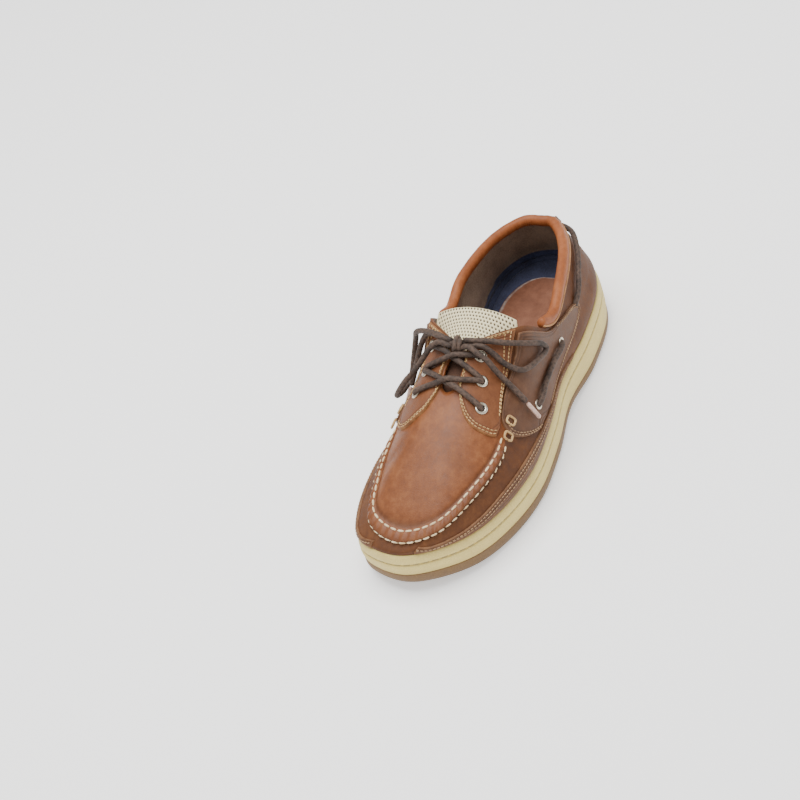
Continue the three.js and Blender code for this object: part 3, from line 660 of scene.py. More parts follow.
def mesh_cloth_finish(name, dark, light, hole):
    """Open-weave cloth: ivory yarn with dark holes (mark hole) and a leather lower half (mark region)."""
    material, tree, shader, coords = start_finish(name)
    yarn = noise(tree, coords, 1500.0, 3.0)
    colour = ramp(tree, yarn, [(0.3, dark), (0.7, light)])
    colour = blend(tree, mark(tree, "hole"), colour, hole)
    hide = ramp(tree, yarn, [(0.3, tint("3a2418")), (0.7, tint("5a3a28"))])
    colour = blend(tree, mark(tree, "region"), colour, hide)
    tree.links.new(colour, shader.inputs["Base Color"])
    shader.inputs["Roughness"].default_value = 0.85
    bump = wire(tree, "ShaderNodeBump", {"Strength": 0.3, "Distance": 0.0003, "Height": yarn})
    tree.links.new(bump.outputs["Normal"], shader.inputs["Normal"])
    return material


def metal_finish(name, dark, light):
    """Plated eyelet: bright metal with smudged roughness."""
    material, tree, shader, coords = start_finish(name)
    smudge = noise(tree, coords, 420.0, 4.0)
    colour = ramp(tree, smudge, [(0.3, dark), (0.7, light)])
    tree.links.new(colour, shader.inputs["Base Color"])
    shader.inputs["Metallic"].default_value = 1.0
    tree.links.new(ranged(tree, smudge, 0.3, 0.7, 0.18, 0.4), shader.inputs["Roughness"])
    return material


def plastic_finish(name, dark, light):
    """Clear-coated lace tip: pale film over cord with faint blotches."""
    material, tree, shader, coords = start_finish(name)
    blotch = noise(tree, coords, 500.0, 3.0)
    colour = ramp(tree, blotch, [(0.3, dark), (0.7, light)])
    tree.links.new(colour, shader.inputs["Base Color"])
    shader.inputs["Roughness"].default_value = 0.3
    return material


# Upper: plug tones, then a second, darker set for the walls below the moc seam: partly the walls' own colour,
# partly painted shade for walls turned from the light. The last colour is painted shade for creases and the
# seam.
UPPER_HIDE = leather_finish(
    "upper_hide", tint("633518"), tint("7c4725"), tint("935c35"), rough=(0.38, 0.52),
    second=(tint("472610"), tint("5c3519"), tint("704525")), shade=tint("2c180c"))
STAY_HIDE = leather_finish(
    "stay_hide", tint("5d341b"), tint("734426"), tint("875535"), wear=tint("a27548"), shade=tint("2c180c"))
QUARTER_HIDE = leather_finish(
    "quarter_hide", tint("4c301f"), tint("60402c"), tint("745039"), wear=tint("866246"), shade=tint("26160c"))
FOXING_HIDE = leather_finish(
    "foxing_hide", tint("4c2c15"), tint("623c20"), tint("764d2d"), wear=tint("8a6444"), shade=tint("26160c"))
ROLL_HIDE = leather_finish(
    "roll_hide", tint("773c1a"), tint("8f4f27"), tint("a56338"), rough=(0.42, 0.58), shade=tint("4a2710"))
LINING_NAP = suede_finish(
    "lining_nap", tint("75604f"), tint("98836f"), second=(tint("262c48"), tint("3d4566")))
FOOTBED_CLOTH = suede_finish("footbed_cloth", tint("262a40"), tint("3c415c"))
SOCK_HIDE = leather_finish("sock_hide", tint("633b28"), tint("784c37"), tint("8a5d46"), wear=tint("a39d98"))
# last colour of each rubber: darker tone low on the sole walls and painted shade in their grooves
MIDSOLE_RUBBER = rubber_finish("midsole_rubber", tint("c8b064"), tint("dcc97e"), tint("a0874a"))
OUTSOLE_RUBBER = rubber_finish("outsole_rubber", tint("664927"), tint("7d5f35"), tint("4a371d"))
LACE_CORD = thread_finish("lace_cord", tint("241a15"), tint("5f4a3d"))
TAN_THREAD = thread_finish("tan_thread", tint("9a7448"), tint("d8b680"))
QUARTER_THREAD = thread_finish("quarter_thread", tint("7a5c44"), tint("b8946e"))
CREAM_THREAD = thread_finish("cream_thread", tint("c9a878"), tint("f4e2bd"))
SOLE_THREAD = thread_finish("sole_thread", tint("8f7d54"), tint("ab9868"))
PIPING_HIDE = thread_finish("piping_hide", tint("8a5a34"), tint("b98a5c"))
TONGUE_CLOTH = mesh_cloth_finish("tongue_cloth", tint("ead9a2"), tint("fff6d4"), tint("4a3a28"))
EYELET_METAL = metal_finish("eyelet_metal", tint("b0a58f"), tint("e6dfd0"))
# near-black plugs in the eyelet holes: painted shadow where the holes are
HOLE_SHADOW_PAINT = suede_finish("hole_painted_shadow", tint("0c0806"), tint("18100c"))
TIP_PLASTIC = plastic_finish("tip_plastic", tint("b08a78"), tint("dcbcae"))


# laces

def cord_frames(points, normals):
    """Side and upper directions along a centreline: the given normals made square to its run."""
    run = unit(np.gradient(points, axis=0))
    side = unit(np.cross(run, normals))
    return run, side, np.cross(side, run)


CORD_SIDES = 20
CORD_STEP = 0.5
CORD_READS = 40
PATH_STEP = 2.0
BRAID_PITCH = 4.6
BRAID_STRANDS = 3
BRAID_RELIEF = 0.13


def braided_tube(points, normals, radius, relief=BRAID_RELIEF):
    """Round cord along a line: a circle raised by the higher of two crossing spiral waves, its ends domed."""
    run_length = run_lengths(points)
    run, side, top = cord_frames(points, normals)
    turn = np.arange(CORD_SIDES) * 2 * math.pi / CORD_SIDES
    wind = 2 * math.pi * run_length[:, None] / BRAID_PITCH
    left = np.cos(BRAID_STRANDS * turn[None, :] + wind)
    right = np.cos(BRAID_STRANDS * turn[None, :] - wind)
    wave = np.maximum(left, right)
    size = radius - relief * (1.0 - wave) * 0.5
    near = np.minimum(run_length, run_length[-1] - run_length)
    dome = np.sqrt(np.clip(1.0 - (1.0 - np.clip(near / radius, 0.05, 1.0)) ** 2, 0.0, 1.0))
    size = size * dome[:, None]
    ring = (points[:, None, :] + side[:, None, :] * (np.cos(turn)[None, :] * size)[..., None]
            + top[:, None, :] * (np.sin(turn)[None, :] * size)[..., None])
    # painted shade: the cord darker where the strand waves are low, between the strands
    thread_shade = 0.35 + 0.65 * (0.5 + 0.5 * wave)
    return ring.reshape(-1, 3), tube_faces(len(points), CORD_SIDES), thread_shade.ravel()


def routed(rows):
    """Cord line over the leather from a table of station, rise and height, with the normals beside it."""
    at = np.linspace(0, 1, CORD_READS * len(rows))
    turns = upper_normal(rows[:, 0], rows[:, 1])
    return resampled_pair(run_through(cord_points(rows), at), run_through(turns, at), CORD_STEP)


def cord_points(rows):
    """Points of a cord table lifted off the leather."""
    rows = np.asarray(rows, float)
    return leather(rows[:, 0], rows[:, 1], rows[:, 2])


def resampled_pair(points, beside, step):
    """Polyline and a vector beside it read again at even lengths."""
    run = run_lengths(points)
    at = np.linspace(0.0, run[-1], max(int(round(run[-1] / step)), 8) + 1)
    line = read_at(at, run, points)
    turn = read_at(at, run, beside)
    return line, unit(turn)


def joined(parts):
    """Several (points, faces, mark) shapes put in one mesh."""
    points = []
    faces = []
    marks = []
    start = 0
    for verts, polys, values in parts:
        points.append(verts)
        faces += [[k + start for k in face] for face in polys]
        marks.append(values)
        start += len(verts)
    return np.concatenate(points), faces, np.concatenate(marks)


def cord_piece(name, parts, node_names, material=LACE_CORD, slot="lace_cord"):
    """One mesh of cord tubes standing for its CAD nodes."""
    verts, faces, thread_shade = joined(parts)
    return make_piece(name, verts, faces, material, node_names, slot, marks={"thread_shade": thread_shade})


def free_cord(name, rows, node_name, from_knot=None, to_knot=None):
    """Free cord of the bow along its route; its length and a path in metres are worked out and not used.
    Its ends run on to points of the knot where these are given."""
    points = cord_points(rows)
    turns = upper_normal(rows[:, 0], rows[:, 1])
    if from_knot is not None:
        points = np.vstack([from_knot, points])
        turns = np.vstack([turns[0], turns])
    if to_knot is not None:
        points = np.vstack([points, to_knot])
        turns = np.vstack([turns, turns[-1]])
    at = np.linspace(0, 1, CORD_READS * len(points))
    line, normals = resampled_pair(run_through(points, at), run_through(turns, at), CORD_STEP)
    piece = cord_piece(name, [braided_tube(line, normals, LACE_RADIUS)], [node_name])
    length = float(np.sum(np.linalg.norm(np.diff(line, axis=0), axis=1))) * MM
    path = row_frame(resampled(line, PATH_STEP))
    return piece


LACE_TUCK = -1.5
LACE_OVER_EYELET = 3.4
LACE_OVER_EDGE = 4.3
THROAT_EDGE_RISE = 1.97
EYELET_LEAN = 0.05
THROAT_READS = 500


def throat_run(start, edge_start, edge_end, end, middle):
    """One lace run: up out of its eyelet, over both throat edges, down into the next eyelet."""
    s0, v0 = EYELETS[start]
    s1, v1 = EYELETS[end]
    top = THROAT_EDGE_RISE
    rows = np.array([
        [s0, v0, LACE_TUCK],
        [s0 + EYELET_LEAN * (edge_start - s0), v0 + EYELET_LEAN * (top - v0), LACE_OVER_EYELET],
        [edge_start, top, LACE_OVER_EDGE],
        [edge_end, top, LACE_OVER_EDGE],
        [s1 + EYELET_LEAN * (edge_end - s1), v1 + EYELET_LEAN * (top - v1), LACE_OVER_EYELET],
        [s1, v1, LACE_TUCK],
    ])
    points = cord_points(rows)
    centre = 0.5 * (points[2] + points[3]) + UP * (middle - LACE_OVER_EDGE)
    points = np.insert(points, 3, centre, axis=0)
    turns = upper_normal(rows[:, 0], rows[:, 1])
    turns = np.insert(turns, 3, unit(turns[2] + turns[3]), axis=0)
    at = np.linspace(0, 1, THROAT_READS)
    line, normals = resampled_pair(run_through(points, at), run_through(turns, at), CORD_STEP)
    return braided_tube(line, normals, LACE_RADIUS)


KNOT_ACROSS = unit(np.array([-0.25, 1.0, -0.12]))
KNOT_AHEAD = unit(np.cross(KNOT_ACROSS, UP))
KNOT_LIFT = np.cross(KNOT_AHEAD, KNOT_ACROSS)
KNOT_WIND_FROM, KNOT_WIND_TO = -0.35 * math.pi, 2.55 * math.pi
KNOT_HALF_AHEAD = 4.4
KNOT_HALF_TALL = 3.7
KNOT_HALF_ACROSS = 2.2
BIGHT_HALF = 6.0
BIGHT_CROWN = 1.2
TIP_SHARE = 0.74


def knot_point(across, ahead, lift):
    """Point of the knot from its middle: across along the bow, ahead towards the toe, and up."""
    return KNOT_CENTRE + KNOT_ACROSS * across + KNOT_AHEAD * ahead + KNOT_LIFT * lift


def knot_tube():
    """Bow knot: the lace wound one and a half turns about the bow's line, with a short bight through it."""
    turn = np.linspace(KNOT_WIND_FROM, KNOT_WIND_TO, 160)
    wind = (KNOT_CENTRE + KNOT_AHEAD * (KNOT_HALF_AHEAD * np.cos(turn))[:, None]
            + KNOT_LIFT * (KNOT_HALF_TALL * np.sin(turn))[:, None]
            + KNOT_ACROSS * np.linspace(-KNOT_HALF_ACROSS, KNOT_HALF_ACROSS, turn.size)[:, None])
    wound = braided_tube(wind, unit(wind - KNOT_CENTRE), LACE_RADIUS)
    t = np.linspace(-1, 1, 60)
    bight = (KNOT_CENTRE + KNOT_ACROSS * (BIGHT_HALF * t)[:, None]
             + KNOT_LIFT * (BIGHT_CROWN * (1 - t**2))[:, None])
    passing = braided_tube(bight, np.broadcast_to(KNOT_LIFT, bight.shape), LACE_RADIUS)
    return [wound, passing]


def lace_tip(name, rows, node_name):
    """Lace tip: a plain tube over the cord's last stretch, slightly pinched at its end."""
    line, normals = routed(rows)
    verts, faces, thread_shade = braided_tube(line, normals, LACE_RADIUS * TIP_SHARE, relief=0.0)
    return make_piece(name, verts, faces, TIP_PLASTIC, [node_name], "aglet_plastic", marks={"thread_shade": thread_shade})


cord_piece("lace_crossings_braid", [throat_run(*row) for row in LACE_RUNS], ["lace_crossings"])
knot_piece = cord_piece("knot_braid", knot_tube(), ["knot"])
tip_lateral = lace_tip("lace_tip_lateral", AGLET_LATERAL, "aglet_lateral")
tip_medial = lace_tip("lace_tip_medial", AGLET_MEDIAL, "aglet_medial")
free_cord("bow_loop_lateral_braid", LOOP_LATERAL, "bow_loop_lateral",
          knot_point(3.4, -1.6, 1.8), knot_point(3.4, 1.8, -0.6))
free_cord("bow_loop_medial_braid", LOOP_MEDIAL, "bow_loop_medial",
          knot_point(-3.4, -1.6, 1.8), knot_point(-3.4, 1.8, -0.6))
free_cord("lace_end_lateral_braid", END_LATERAL, "lace_end_lateral",
          knot_point(2.4, 3.4, 0))
free_cord("lace_end_medial_braid", END_MEDIAL, "lace_end_medial")
for side_name, medial_side in (("lateral", False), ("medial", True)):
    side_line = routed(mirrored(SIDE_LACE, medial_side))
    cord_piece(f"side_lace_{side_name}_braid", [braided_tube(*side_line, LACE_RADIUS)],
               [f"side_lace_{side_name}"])
heel_rows = np.concatenate([HEEL_LACE, mirrored(HEEL_LACE, True)[-2::-1]])
heel_rows[:, 0] = np.where(heel_rows[:, 0] > STATIONS / 2, heel_rows[:, 0] - STATIONS, heel_rows[:, 0])
cord_piece("heel_lace_braid", [braided_tube(*routed(heel_rows), LACE_RADIUS)], ["heel_lace"])


# upper

CREASE_SHADE = 0.25
PUCKER_REACH = 0.26
PUCKER_HEIGHT = 0.42
TRENCH_DEPTH = 0.5
TRENCH_HALF = 0.03


def crease_lift(points):
    """Soft troughs and ridges: for each crease a bell of its half width about its line, tapered."""
    lift = np.zeros(points.shape[:-1])
    for start, end, depth, wide in CREASES:
        t = np.linspace(0, 1, 25)
        line = upper_at(start[0] + (end[0] - start[0]) * t, start[1] + (end[1] - start[1]) * t)
        away = np.linalg.norm(points[..., None, :] - line, axis=-1)
        near = np.argmin(away, axis=-1)
        taper = np.sin(math.pi * np.clip(t[near], 0.06, 0.94)) ** 0.7
        lift -= depth * taper * np.exp(-(np.min(away, axis=-1) / wide) ** 2)
    return lift


def seam_relief(s, v):
    """Moc seam: a parabola ridge at v 1, nicked between stitches, with puckers down the wall below it."""
    fade = seam_fade(s)
    across = np.clip(np.abs(v - 1) / SEAM_HALF, 0, 1)
    phase = 2 * math.pi * np.interp(np.asarray(s) % STATIONS, SEAM_STATIONS, SEAM_LENGTHS) / MOC_PITCH
    ridge = SEAM_HEIGHT * (1 - across**2) * (0.86 + 0.14 * np.cos(phase))
    below = np.clip((1 - v) / PUCKER_REACH, 0, 1)
    fading = np.where(v < 1, smoothstep(below, 0.0, 0.3) * (1 - below) ** 1.5, 0)
    pucker = PUCKER_HEIGHT * np.cos(phase) * fading
    trench = -TRENCH_DEPTH * np.exp(-((np.abs(v - 1) - SEAM_HALF) / TRENCH_HALF) ** 2)
    return fade * (ridge + pucker + trench)


FEATHER_SINK = 0.9
SEAM_FINE_FROM, SEAM_FINE_TO = 6.2, 13.8
SEAM_FINE_LOW, SEAM_FINE_HIGH = 0.84, 1.14
PLUG_FROM, PLUG_FULL = 5.9, 6.4
CUP_LINING_RISE = 0.32
CUP_LINING_FULL, CUP_LINING_END = 1.6, 3.6
CUP_LINING_SOFT = 0.02
RIDGE_SHADE = 0.3


def upper_piece():
    """Hollow upper: the outer surface with seam and creases, then the lining one wall further in, closed."""
    rear = np.linspace(0, SEAM_FINE_FROM, 190, endpoint=False)
    front = np.linspace(SEAM_FINE_FROM, SEAM_FINE_TO, 430, endpoint=False)
    back = np.linspace(SEAM_FINE_TO, STATIONS, 190, endpoint=False)
    s = np.concatenate([rear, front, back])
    low = np.linspace(0, SEAM_FINE_LOW, 18, endpoint=False)
    seam = np.linspace(SEAM_FINE_LOW, SEAM_FINE_HIGH, 26, endpoint=False)
    high = np.linspace(SEAM_FINE_HIGH, 2.0, 26)
    v = np.concatenate([low, seam, high])
    s_grid, v_grid = np.meshgrid(s, v)
    base = upper_at(s_grid, v_grid)
    folds = crease_lift(base)
    lift = seam_relief(s_grid, v_grid) + folds
    outer = leather(s_grid, v_grid, lift)
    v_in = np.linspace(2.0, 0.0, 24)
    s_lin, v_lin = np.meshgrid(s, v_in)
    inner = leather(s_lin, v_lin, np.full(s_lin.shape, -WALL))
    outer[0] -= UP * FEATHER_SINK
    inner[-1] -= UP * FEATHER_SINK
    verts = np.concatenate([outer, inner]).reshape(-1, 3)
    rows, columns = len(v) + len(v_in), len(s)
    faces = grid_faces(rows, columns, close_rows=True, close_columns=True, flip=True)
    plug = np.where(v_grid > 1.0, smoothstep(side_of(s_grid), PLUG_FROM, PLUG_FULL), 0.0)
    cup_rise = CUP_LINING_RISE * (1 - smoothstep(side_of(s_lin), CUP_LINING_FULL, CUP_LINING_END))
    navy = 1 - smoothstep(v_lin, cup_rise - CUP_LINING_SOFT, cup_rise + CUP_LINING_SOFT)
    # region: the walls, whose darker tone is partly painted shade, and the navy cup lining inside
    region = np.concatenate([1 - plug, navy]).ravel()
    # painted shade: seam trench and crease troughs darkened, and the seam ridge darkened against the light it
    # catches
    painted_valley_shade = np.clip(-seam_relief(s_grid, v_grid), 0, 1) * 0.9 + np.clip(-folds, 0, 1) * CREASE_SHADE
    painted_valley_shade = painted_valley_shade + RIDGE_SHADE * seam_fade(s_grid) * np.exp(-((v_grid - 0.985) / 0.05) ** 2)
    painted_shade = np.concatenate([np.clip(painted_valley_shade, 0, 1), np.zeros(inner.shape[:2])]).ravel()
    piece = make_piece("upper_leather", verts, faces, [UPPER_HIDE, LINING_NAP], ["upper"], "brown_leather",
                       marks={"region": region, "painted_shade": painted_shade})
    ring_of_face = np.arange(rows).repeat(columns)
    inside = (ring_of_face >= len(v)).astype(np.int32)
    piece.data.polygons.foreach_set("material_index", inside)
    return piece


upper_piece()


# panels laid on the upper

def panel_place(rows, medial):
    """Station and rise of a panel: the row at share b, read between its back and its front at share a."""
    def place(a, b):
        a, b = np.broadcast_arrays(np.asarray(a, float), np.asarray(b, float))
        row = run_through(rows, b)
        s = row[..., 1] + (row[..., 2] - row[..., 1]) * a
        return (STATIONS - s if medial else s), row[..., 0]
    return place


def strip_place(rows, medial):
    """Station and rise of a strip: the row at share a, read between its lower and upper rise at share b."""
    def place(a, b):
        a, b = np.broadcast_arrays(np.asarray(a, float), np.asarray(b, float))
        row = run_through(rows, a)
        v = row[..., 1] + (row[..., 2] - row[..., 1]) * b
        return (STATIONS - row[..., 0] if medial else row[..., 0]), v
    return place


def crowded(count):
    """Shares from 0 to 1 that stand closer together at both ends."""
    t = np.linspace(0, 1, count)
    return 0.35 * t + 0.65 * (0.5 - 0.5 * np.cos(math.pi * t))


PANEL_ROUND = 0.9
PANEL_SINK = -0.7
UNDER_DROP = 0.2
GROOVE_DEPTH = 0.28
GROOVE_HALF = 0.55
GROOVE_SHADE = 1.2
WEAR_REACH = 0.8
HOLLOW_FROM = 1.5


def panel_piece(name, place, across, up, top, grooves, medial, material, node_names, slot, extra=None):
    """Leather panel: the upper's surface lifted to top, falling to it in a quarter round at every edge,
    pressed in along its stitch rows (grooves: distances from the edge), closed by an underside sunk in the
    upper; extra gives a bed that it arches over."""
    a, b = np.meshgrid(crowded(across), crowded(up))
    s, v = place(a, b)
    base = upper_at(s, v)
    run_a = lengths_along(base, 1)
    run_b = lengths_along(base, 0)
    edge = np.minimum.reduce([run_a, run_a[:, -1:] - run_a, run_b, run_b[-1:, :] - run_b])
    rise = np.sqrt(1 - (1 - np.clip(edge / PANEL_ROUND, 0, 1)) ** 2)
    press = sum(GROOVE_DEPTH * np.exp(-((edge - inset) / GROOVE_HALF) ** 2) for inset in grooves)
    bed = extra(s, v) if extra else np.zeros(s.shape)
    folds = crease_lift(base)
    lift = PANEL_SINK + (top + bed - PANEL_SINK) * rise - press + folds
    hollow = np.where(bed > HOLLOW_FROM, bed * rise, 0.0)
    normals = upper_normal(s, v)
    outer = base + normals * lift[..., None]
    under = base + normals * (PANEL_SINK - UNDER_DROP + hollow)[..., None]
    count = across * up
    verts = np.concatenate([outer.reshape(-1, 3), under.reshape(-1, 3)])
    faces = slab_faces(up, across, flip=medial)
    worn = np.exp(-edge / WEAR_REACH)
    # painted shade in the stitch grooves and crease troughs
    painted_shade = np.clip(press * GROOVE_SHADE + np.clip(-folds, 0, 1) * CREASE_SHADE, 0, 1)
    marks = {"edge": np.concatenate([worn.ravel(), np.ones(count)]),
             "painted_shade": np.concatenate([painted_shade.ravel(), np.zeros(count)])}
    return make_piece(name, verts, faces, material, node_names, slot, marks=marks)


TAB_SLACK = 1.2


def tab_arch(s, v):
    """Heel tab's bridge over the collar lace: a flat-topped hump round the lace's rise."""
    away = np.abs(v - HEEL_LACE_RISE)
    return (2 * LACE_RADIUS + TAB_SLACK) * (1 - smoothstep(away, HEEL_LACE_BAND * 0.6, HEEL_LACE_BAND * 1.5))


PANEL_GROOVES = (2.0, 4.4)
places = {}
for side_name, medial_side, stay_rows in (
        ("lateral", False, EYESTAY_LATERAL),
        ("medial", True, EYESTAY_MEDIAL)):
    eyestay, quarter, foxing = (f"{panel}_{side_name}" for panel in ("eyestay", "quarter", "foxing"))
    places[eyestay] = panel_place(stay_rows, medial_side)
    places[quarter] = panel_place(QUARTER, medial_side)
    places[foxing] = strip_place(FOXING, medial_side)
    panel_piece(f"{eyestay}_leather", places[eyestay], 90, 90, PANEL_TOP, PANEL_GROOVES,
                medial_side, STAY_HIDE, [eyestay], "tan_leather")
    panel_piece(f"{quarter}_leather", places[quarter], 100, 100, PANEL_TOP, PANEL_GROOVES,
                medial_side, QUARTER_HIDE, [quarter], "brown_leather")
    panel_piece(f"{foxing}_leather", places[foxing], 260, 30, FOXING_TOP, PANEL_GROOVES,
                medial_side, FOXING_HIDE, [foxing], "brown_leather")


TAB_GROOVES = (1.8,)


def tab_place(a, b):
    """Heel tab: stations either side of the heel line, rises from low to high."""
    a, b = np.broadcast_arrays(np.asarray(a, float), np.asarray(b, float))
    return HEEL_TAB_HALF * (2 * a - 1), HEEL_TAB_RISES[0] + (HEEL_TAB_RISES[1] - HEEL_TAB_RISES[0]) * b


panel_piece("heel_tab_leather", tab_place, 40, 110, PANEL_TOP, TAB_GROOVES, False, QUARTER_HIDE, ["heel_tab"],
            "brown_leather", extra=tab_arch)


# collar

def roll_puff(s, turn):
    """Padding: slow swells along the roll and short puckers on its inner side where it bends."""
    along_roll = 0.012 * np.sin(7.3 * s + 0.6) + 0.01 * np.sin(17.1 * s + 2.1)
    inner = np.clip(-np.cos(turn), 0, 1)[None, :]
    bends = np.exp(-((np.abs(s) - 1.0) / 0.7) ** 2) + 0.8 * np.exp(-((np.abs(s) - 4.0) / 0.3) ** 2)
    pucker = 0.035 * np.sin(46 * s)[:, None] * inner * bends[:, None]
    return 1 + along_roll[:, None] + pucker


ROLL_SIDES = 32
ROLL_STEPS = 420
ROLL_TAPER = 0.35
ROLL_END_SHARE = 0.62
ROLL_SEAT = 0.2
PIPING_RADIUS = 0.75
PIPING_STEP = 0.8
PIPING_OUT, PIPING_DOWN = 0.80, 0.72


def collar_piece():
    """Padded collar: ellipses standing on the opening edge, square to it and smaller at both ends, joined
    into a closed tube; a thin piping lies low on its outer side."""
    s = np.linspace(ROLL_REACH, -ROLL_REACH, ROLL_STEPS)
    top_edge = np.full(s.shape, 2.0)
    end = np.clip((ROLL_REACH - np.abs(s)) / ROLL_TAPER, 0, 1)
    size = ROLL_END_SHARE + (1 - ROLL_END_SHARE) * np.sqrt(end * (2 - end))
    out = upper_normal(s, top_edge)
    rise = unit(upper_at(s, top_edge) - upper_at(s, top_edge - 0.02))
    seat = (ROLL_HALF_TALL * size + ROLL_SEAT)[:, None]
    centre = leather(s, top_edge, np.full(s.shape, -WALL / 2)) + rise * seat
    turn = np.arange(ROLL_SIDES) * 2 * math.pi / ROLL_SIDES
    swell = roll_puff(s, turn)
    wide = (np.cos(turn)[None, :] * ROLL_HALF_WIDE * size[:, None] * swell)[..., None]
    tall = (np.sin(turn)[None, :] * ROLL_HALF_TALL * size[:, None] * swell)[..., None]
    rings = centre[:, None, :] + out[:, None, :] * wide + rise[:, None, :] * tall
    # painted shade: the roll's lower side darkened
    low = np.clip(-np.sin(turn), 0, 1) ** 3
    painted_shade = np.broadcast_to(low, (ROLL_STEPS, ROLL_SIDES)).ravel() * 0.7
    piece = make_piece("collar_roll_leather", rings.reshape(-1, 3), tube_faces(ROLL_STEPS, ROLL_SIDES),
                       ROLL_HIDE, ["collar_roll"], "roll_leather",
                       marks={"painted_shade": painted_shade, "edge": np.zeros(painted_shade.size)})
    low_outer = (centre + out * (ROLL_HALF_WIDE * PIPING_OUT * size)[:, None]
                 - rise * (ROLL_HALF_TALL * PIPING_DOWN * size)[:, None])
    line, normals = resampled_pair(low_outer, out, PIPING_STEP)
    piping = braided_tube(line, normals, PIPING_RADIUS, relief=0.0)
    cord_piece("collar_piping", [piping], [], PIPING_HIDE, "tan_leather")


collar_piece()


# tongue

MESH_PITCH = 2.3
MESH_DEPTH = 0.55
TONGUE_HIDE_FROM = 166.0
TONGUE_EDGE_ROUND = 2.0
TONGUE_EDGE_THINNING = 0.45
TONGUE_SEAM_DEPTH = 0.4
HOLE_INNER, HOLE_OUTER = 0.22, 0.36


def tongue_piece():
    """Padded tongue: a saddle that drops at its sides as the square of the width share, thinner at the edges;
    the upper face has a staggered net of round holes pressed in."""
    along_count, across = 230, 200
    t = crowded(along_count)
    row = run_through(TONGUE, t)
    w = np.linspace(-1, 1, across)
    x = np.broadcast_to(row[:, :1], (along_count, across))
    y = THROAT_CENTRE + row[:, 2:3] * w[None, :]
    middle = row[:, 1:2] - row[:, 3:4] * w[None, :] ** 2
    half = TONGUE_THICK / 2 * (1 - TONGUE_EDGE_THINNING * w[None, :] ** 4)
    end = np.minimum(t, 1 - t)[:, None] * np.ptp(TONGUE[:, 0])
    side = (1 - np.abs(w))[None, :] * row[:, 2:3]
    edge = np.minimum(end, side)
    half = half * np.sqrt(1 - (1 - np.clip(edge / TONGUE_EDGE_ROUND, 0.0, 1)) ** 2)
    run = run_lengths(row[:, :2])[:, None]
    down = run / MESH_PITCH
    over = (row[:, 2:3] * w[None, :]) / MESH_PITCH + 0.5 * (np.floor(down) % 2)
    cell = np.hypot(down - np.floor(down) - 0.5, over - np.floor(over) - 0.5)
    cloth = smoothstep(-x, -TONGUE_HIDE_FROM - 0.5, -TONGUE_HIDE_FROM + 0.5)
    inner = smoothstep(edge, 1.6, 2.2)
    hole = (1 - smoothstep(cell, HOLE_INNER, HOLE_OUTER)) * cloth * inner
    seam = np.exp(-((x - TONGUE_HIDE_FROM) / 0.8) ** 2)
    upper_face = np.stack([x, y, middle + half - MESH_DEPTH * hole - TONGUE_SEAM_DEPTH * seam], -1)
    under_face = np.stack([x, y, middle - half], -1)
    count = along_count * across
    verts = np.concatenate([upper_face.reshape(-1, 3), under_face.reshape(-1, 3)])
    faces = slab_faces(along_count, across, flip=True)
    marks = {"hole": np.concatenate([hole.ravel(), np.zeros(count)]),
             "region": np.concatenate([(1 - cloth).ravel(), (1 - cloth).ravel()])}
    piece = make_piece("tongue_mesh", verts, faces, TONGUE_CLOTH, ["tongue"], "mesh_fabric", marks=marks)


tongue_piece()


# sole

def sole_stack(name, profile, material, node_names, slot, low_dark_groove_shade, lined):
    """Sole layer: rings of the outline stacked up a wall profile, closed by rungs at the bottom and the top;
    the last rings, from lined on, and the top take the second material."""
    rings, columns = len(profile), len(profile[0])
    verts = np.concatenate(profile)
    faces = grid_faces(rings, columns, close_columns=True, flip=True)
    foot = rung_faces(0, columns, False)
    floor = rung_faces((rings - 1) * columns, columns, True)
    piece = make_piece(name, verts, faces + foot + floor, material, node_names, slot,
                       marks={"low_dark_groove_shade": low_dark_groove_shade.ravel()})
    inside = np.arange(rings - 1).repeat(columns) >= lined
    index = np.concatenate([inside, np.zeros(len(foot), bool), np.ones(len(floor), bool)])
    piece.data.polygons.foreach_set("material_index", index.astype(np.int32))
    return piece


# midsole wall, bottom to top: step out from the outline and height below the rim
MIDSOLE_WALL = np.array([
    [0.7, 14.0], [0.68, 11.0], [0.65, 9.0], [0.6, 8.1], [0.35, 7.8], [-0.1, 7.5], [-0.3, 7.2], [-0.3, 6.9],
    [-0.1, 6.6], [0.3, 6.35], [0.5, 6.0], [0.42, 5.2], [0.25, 4.0], [0.0, 2.9], [-0.4, 1.7], [-0.9, 0.6],
    [-1.5, 0.0], [-3.0, 0.0], [-5.0, 0.0],
])
SOLE_COLUMNS = 560
USUAL_WALL_HEIGHT = 24.0
FOOT_RINGS = 8
FOOT_OUT, BULGE_OUT = 0.05, 0.75
FOOT_DARKENING = 0.45
GROOVE_PAINTED_SHADE = 0.3
GROOVE_LOWEST = 6.0
CUP_RINGS = 3


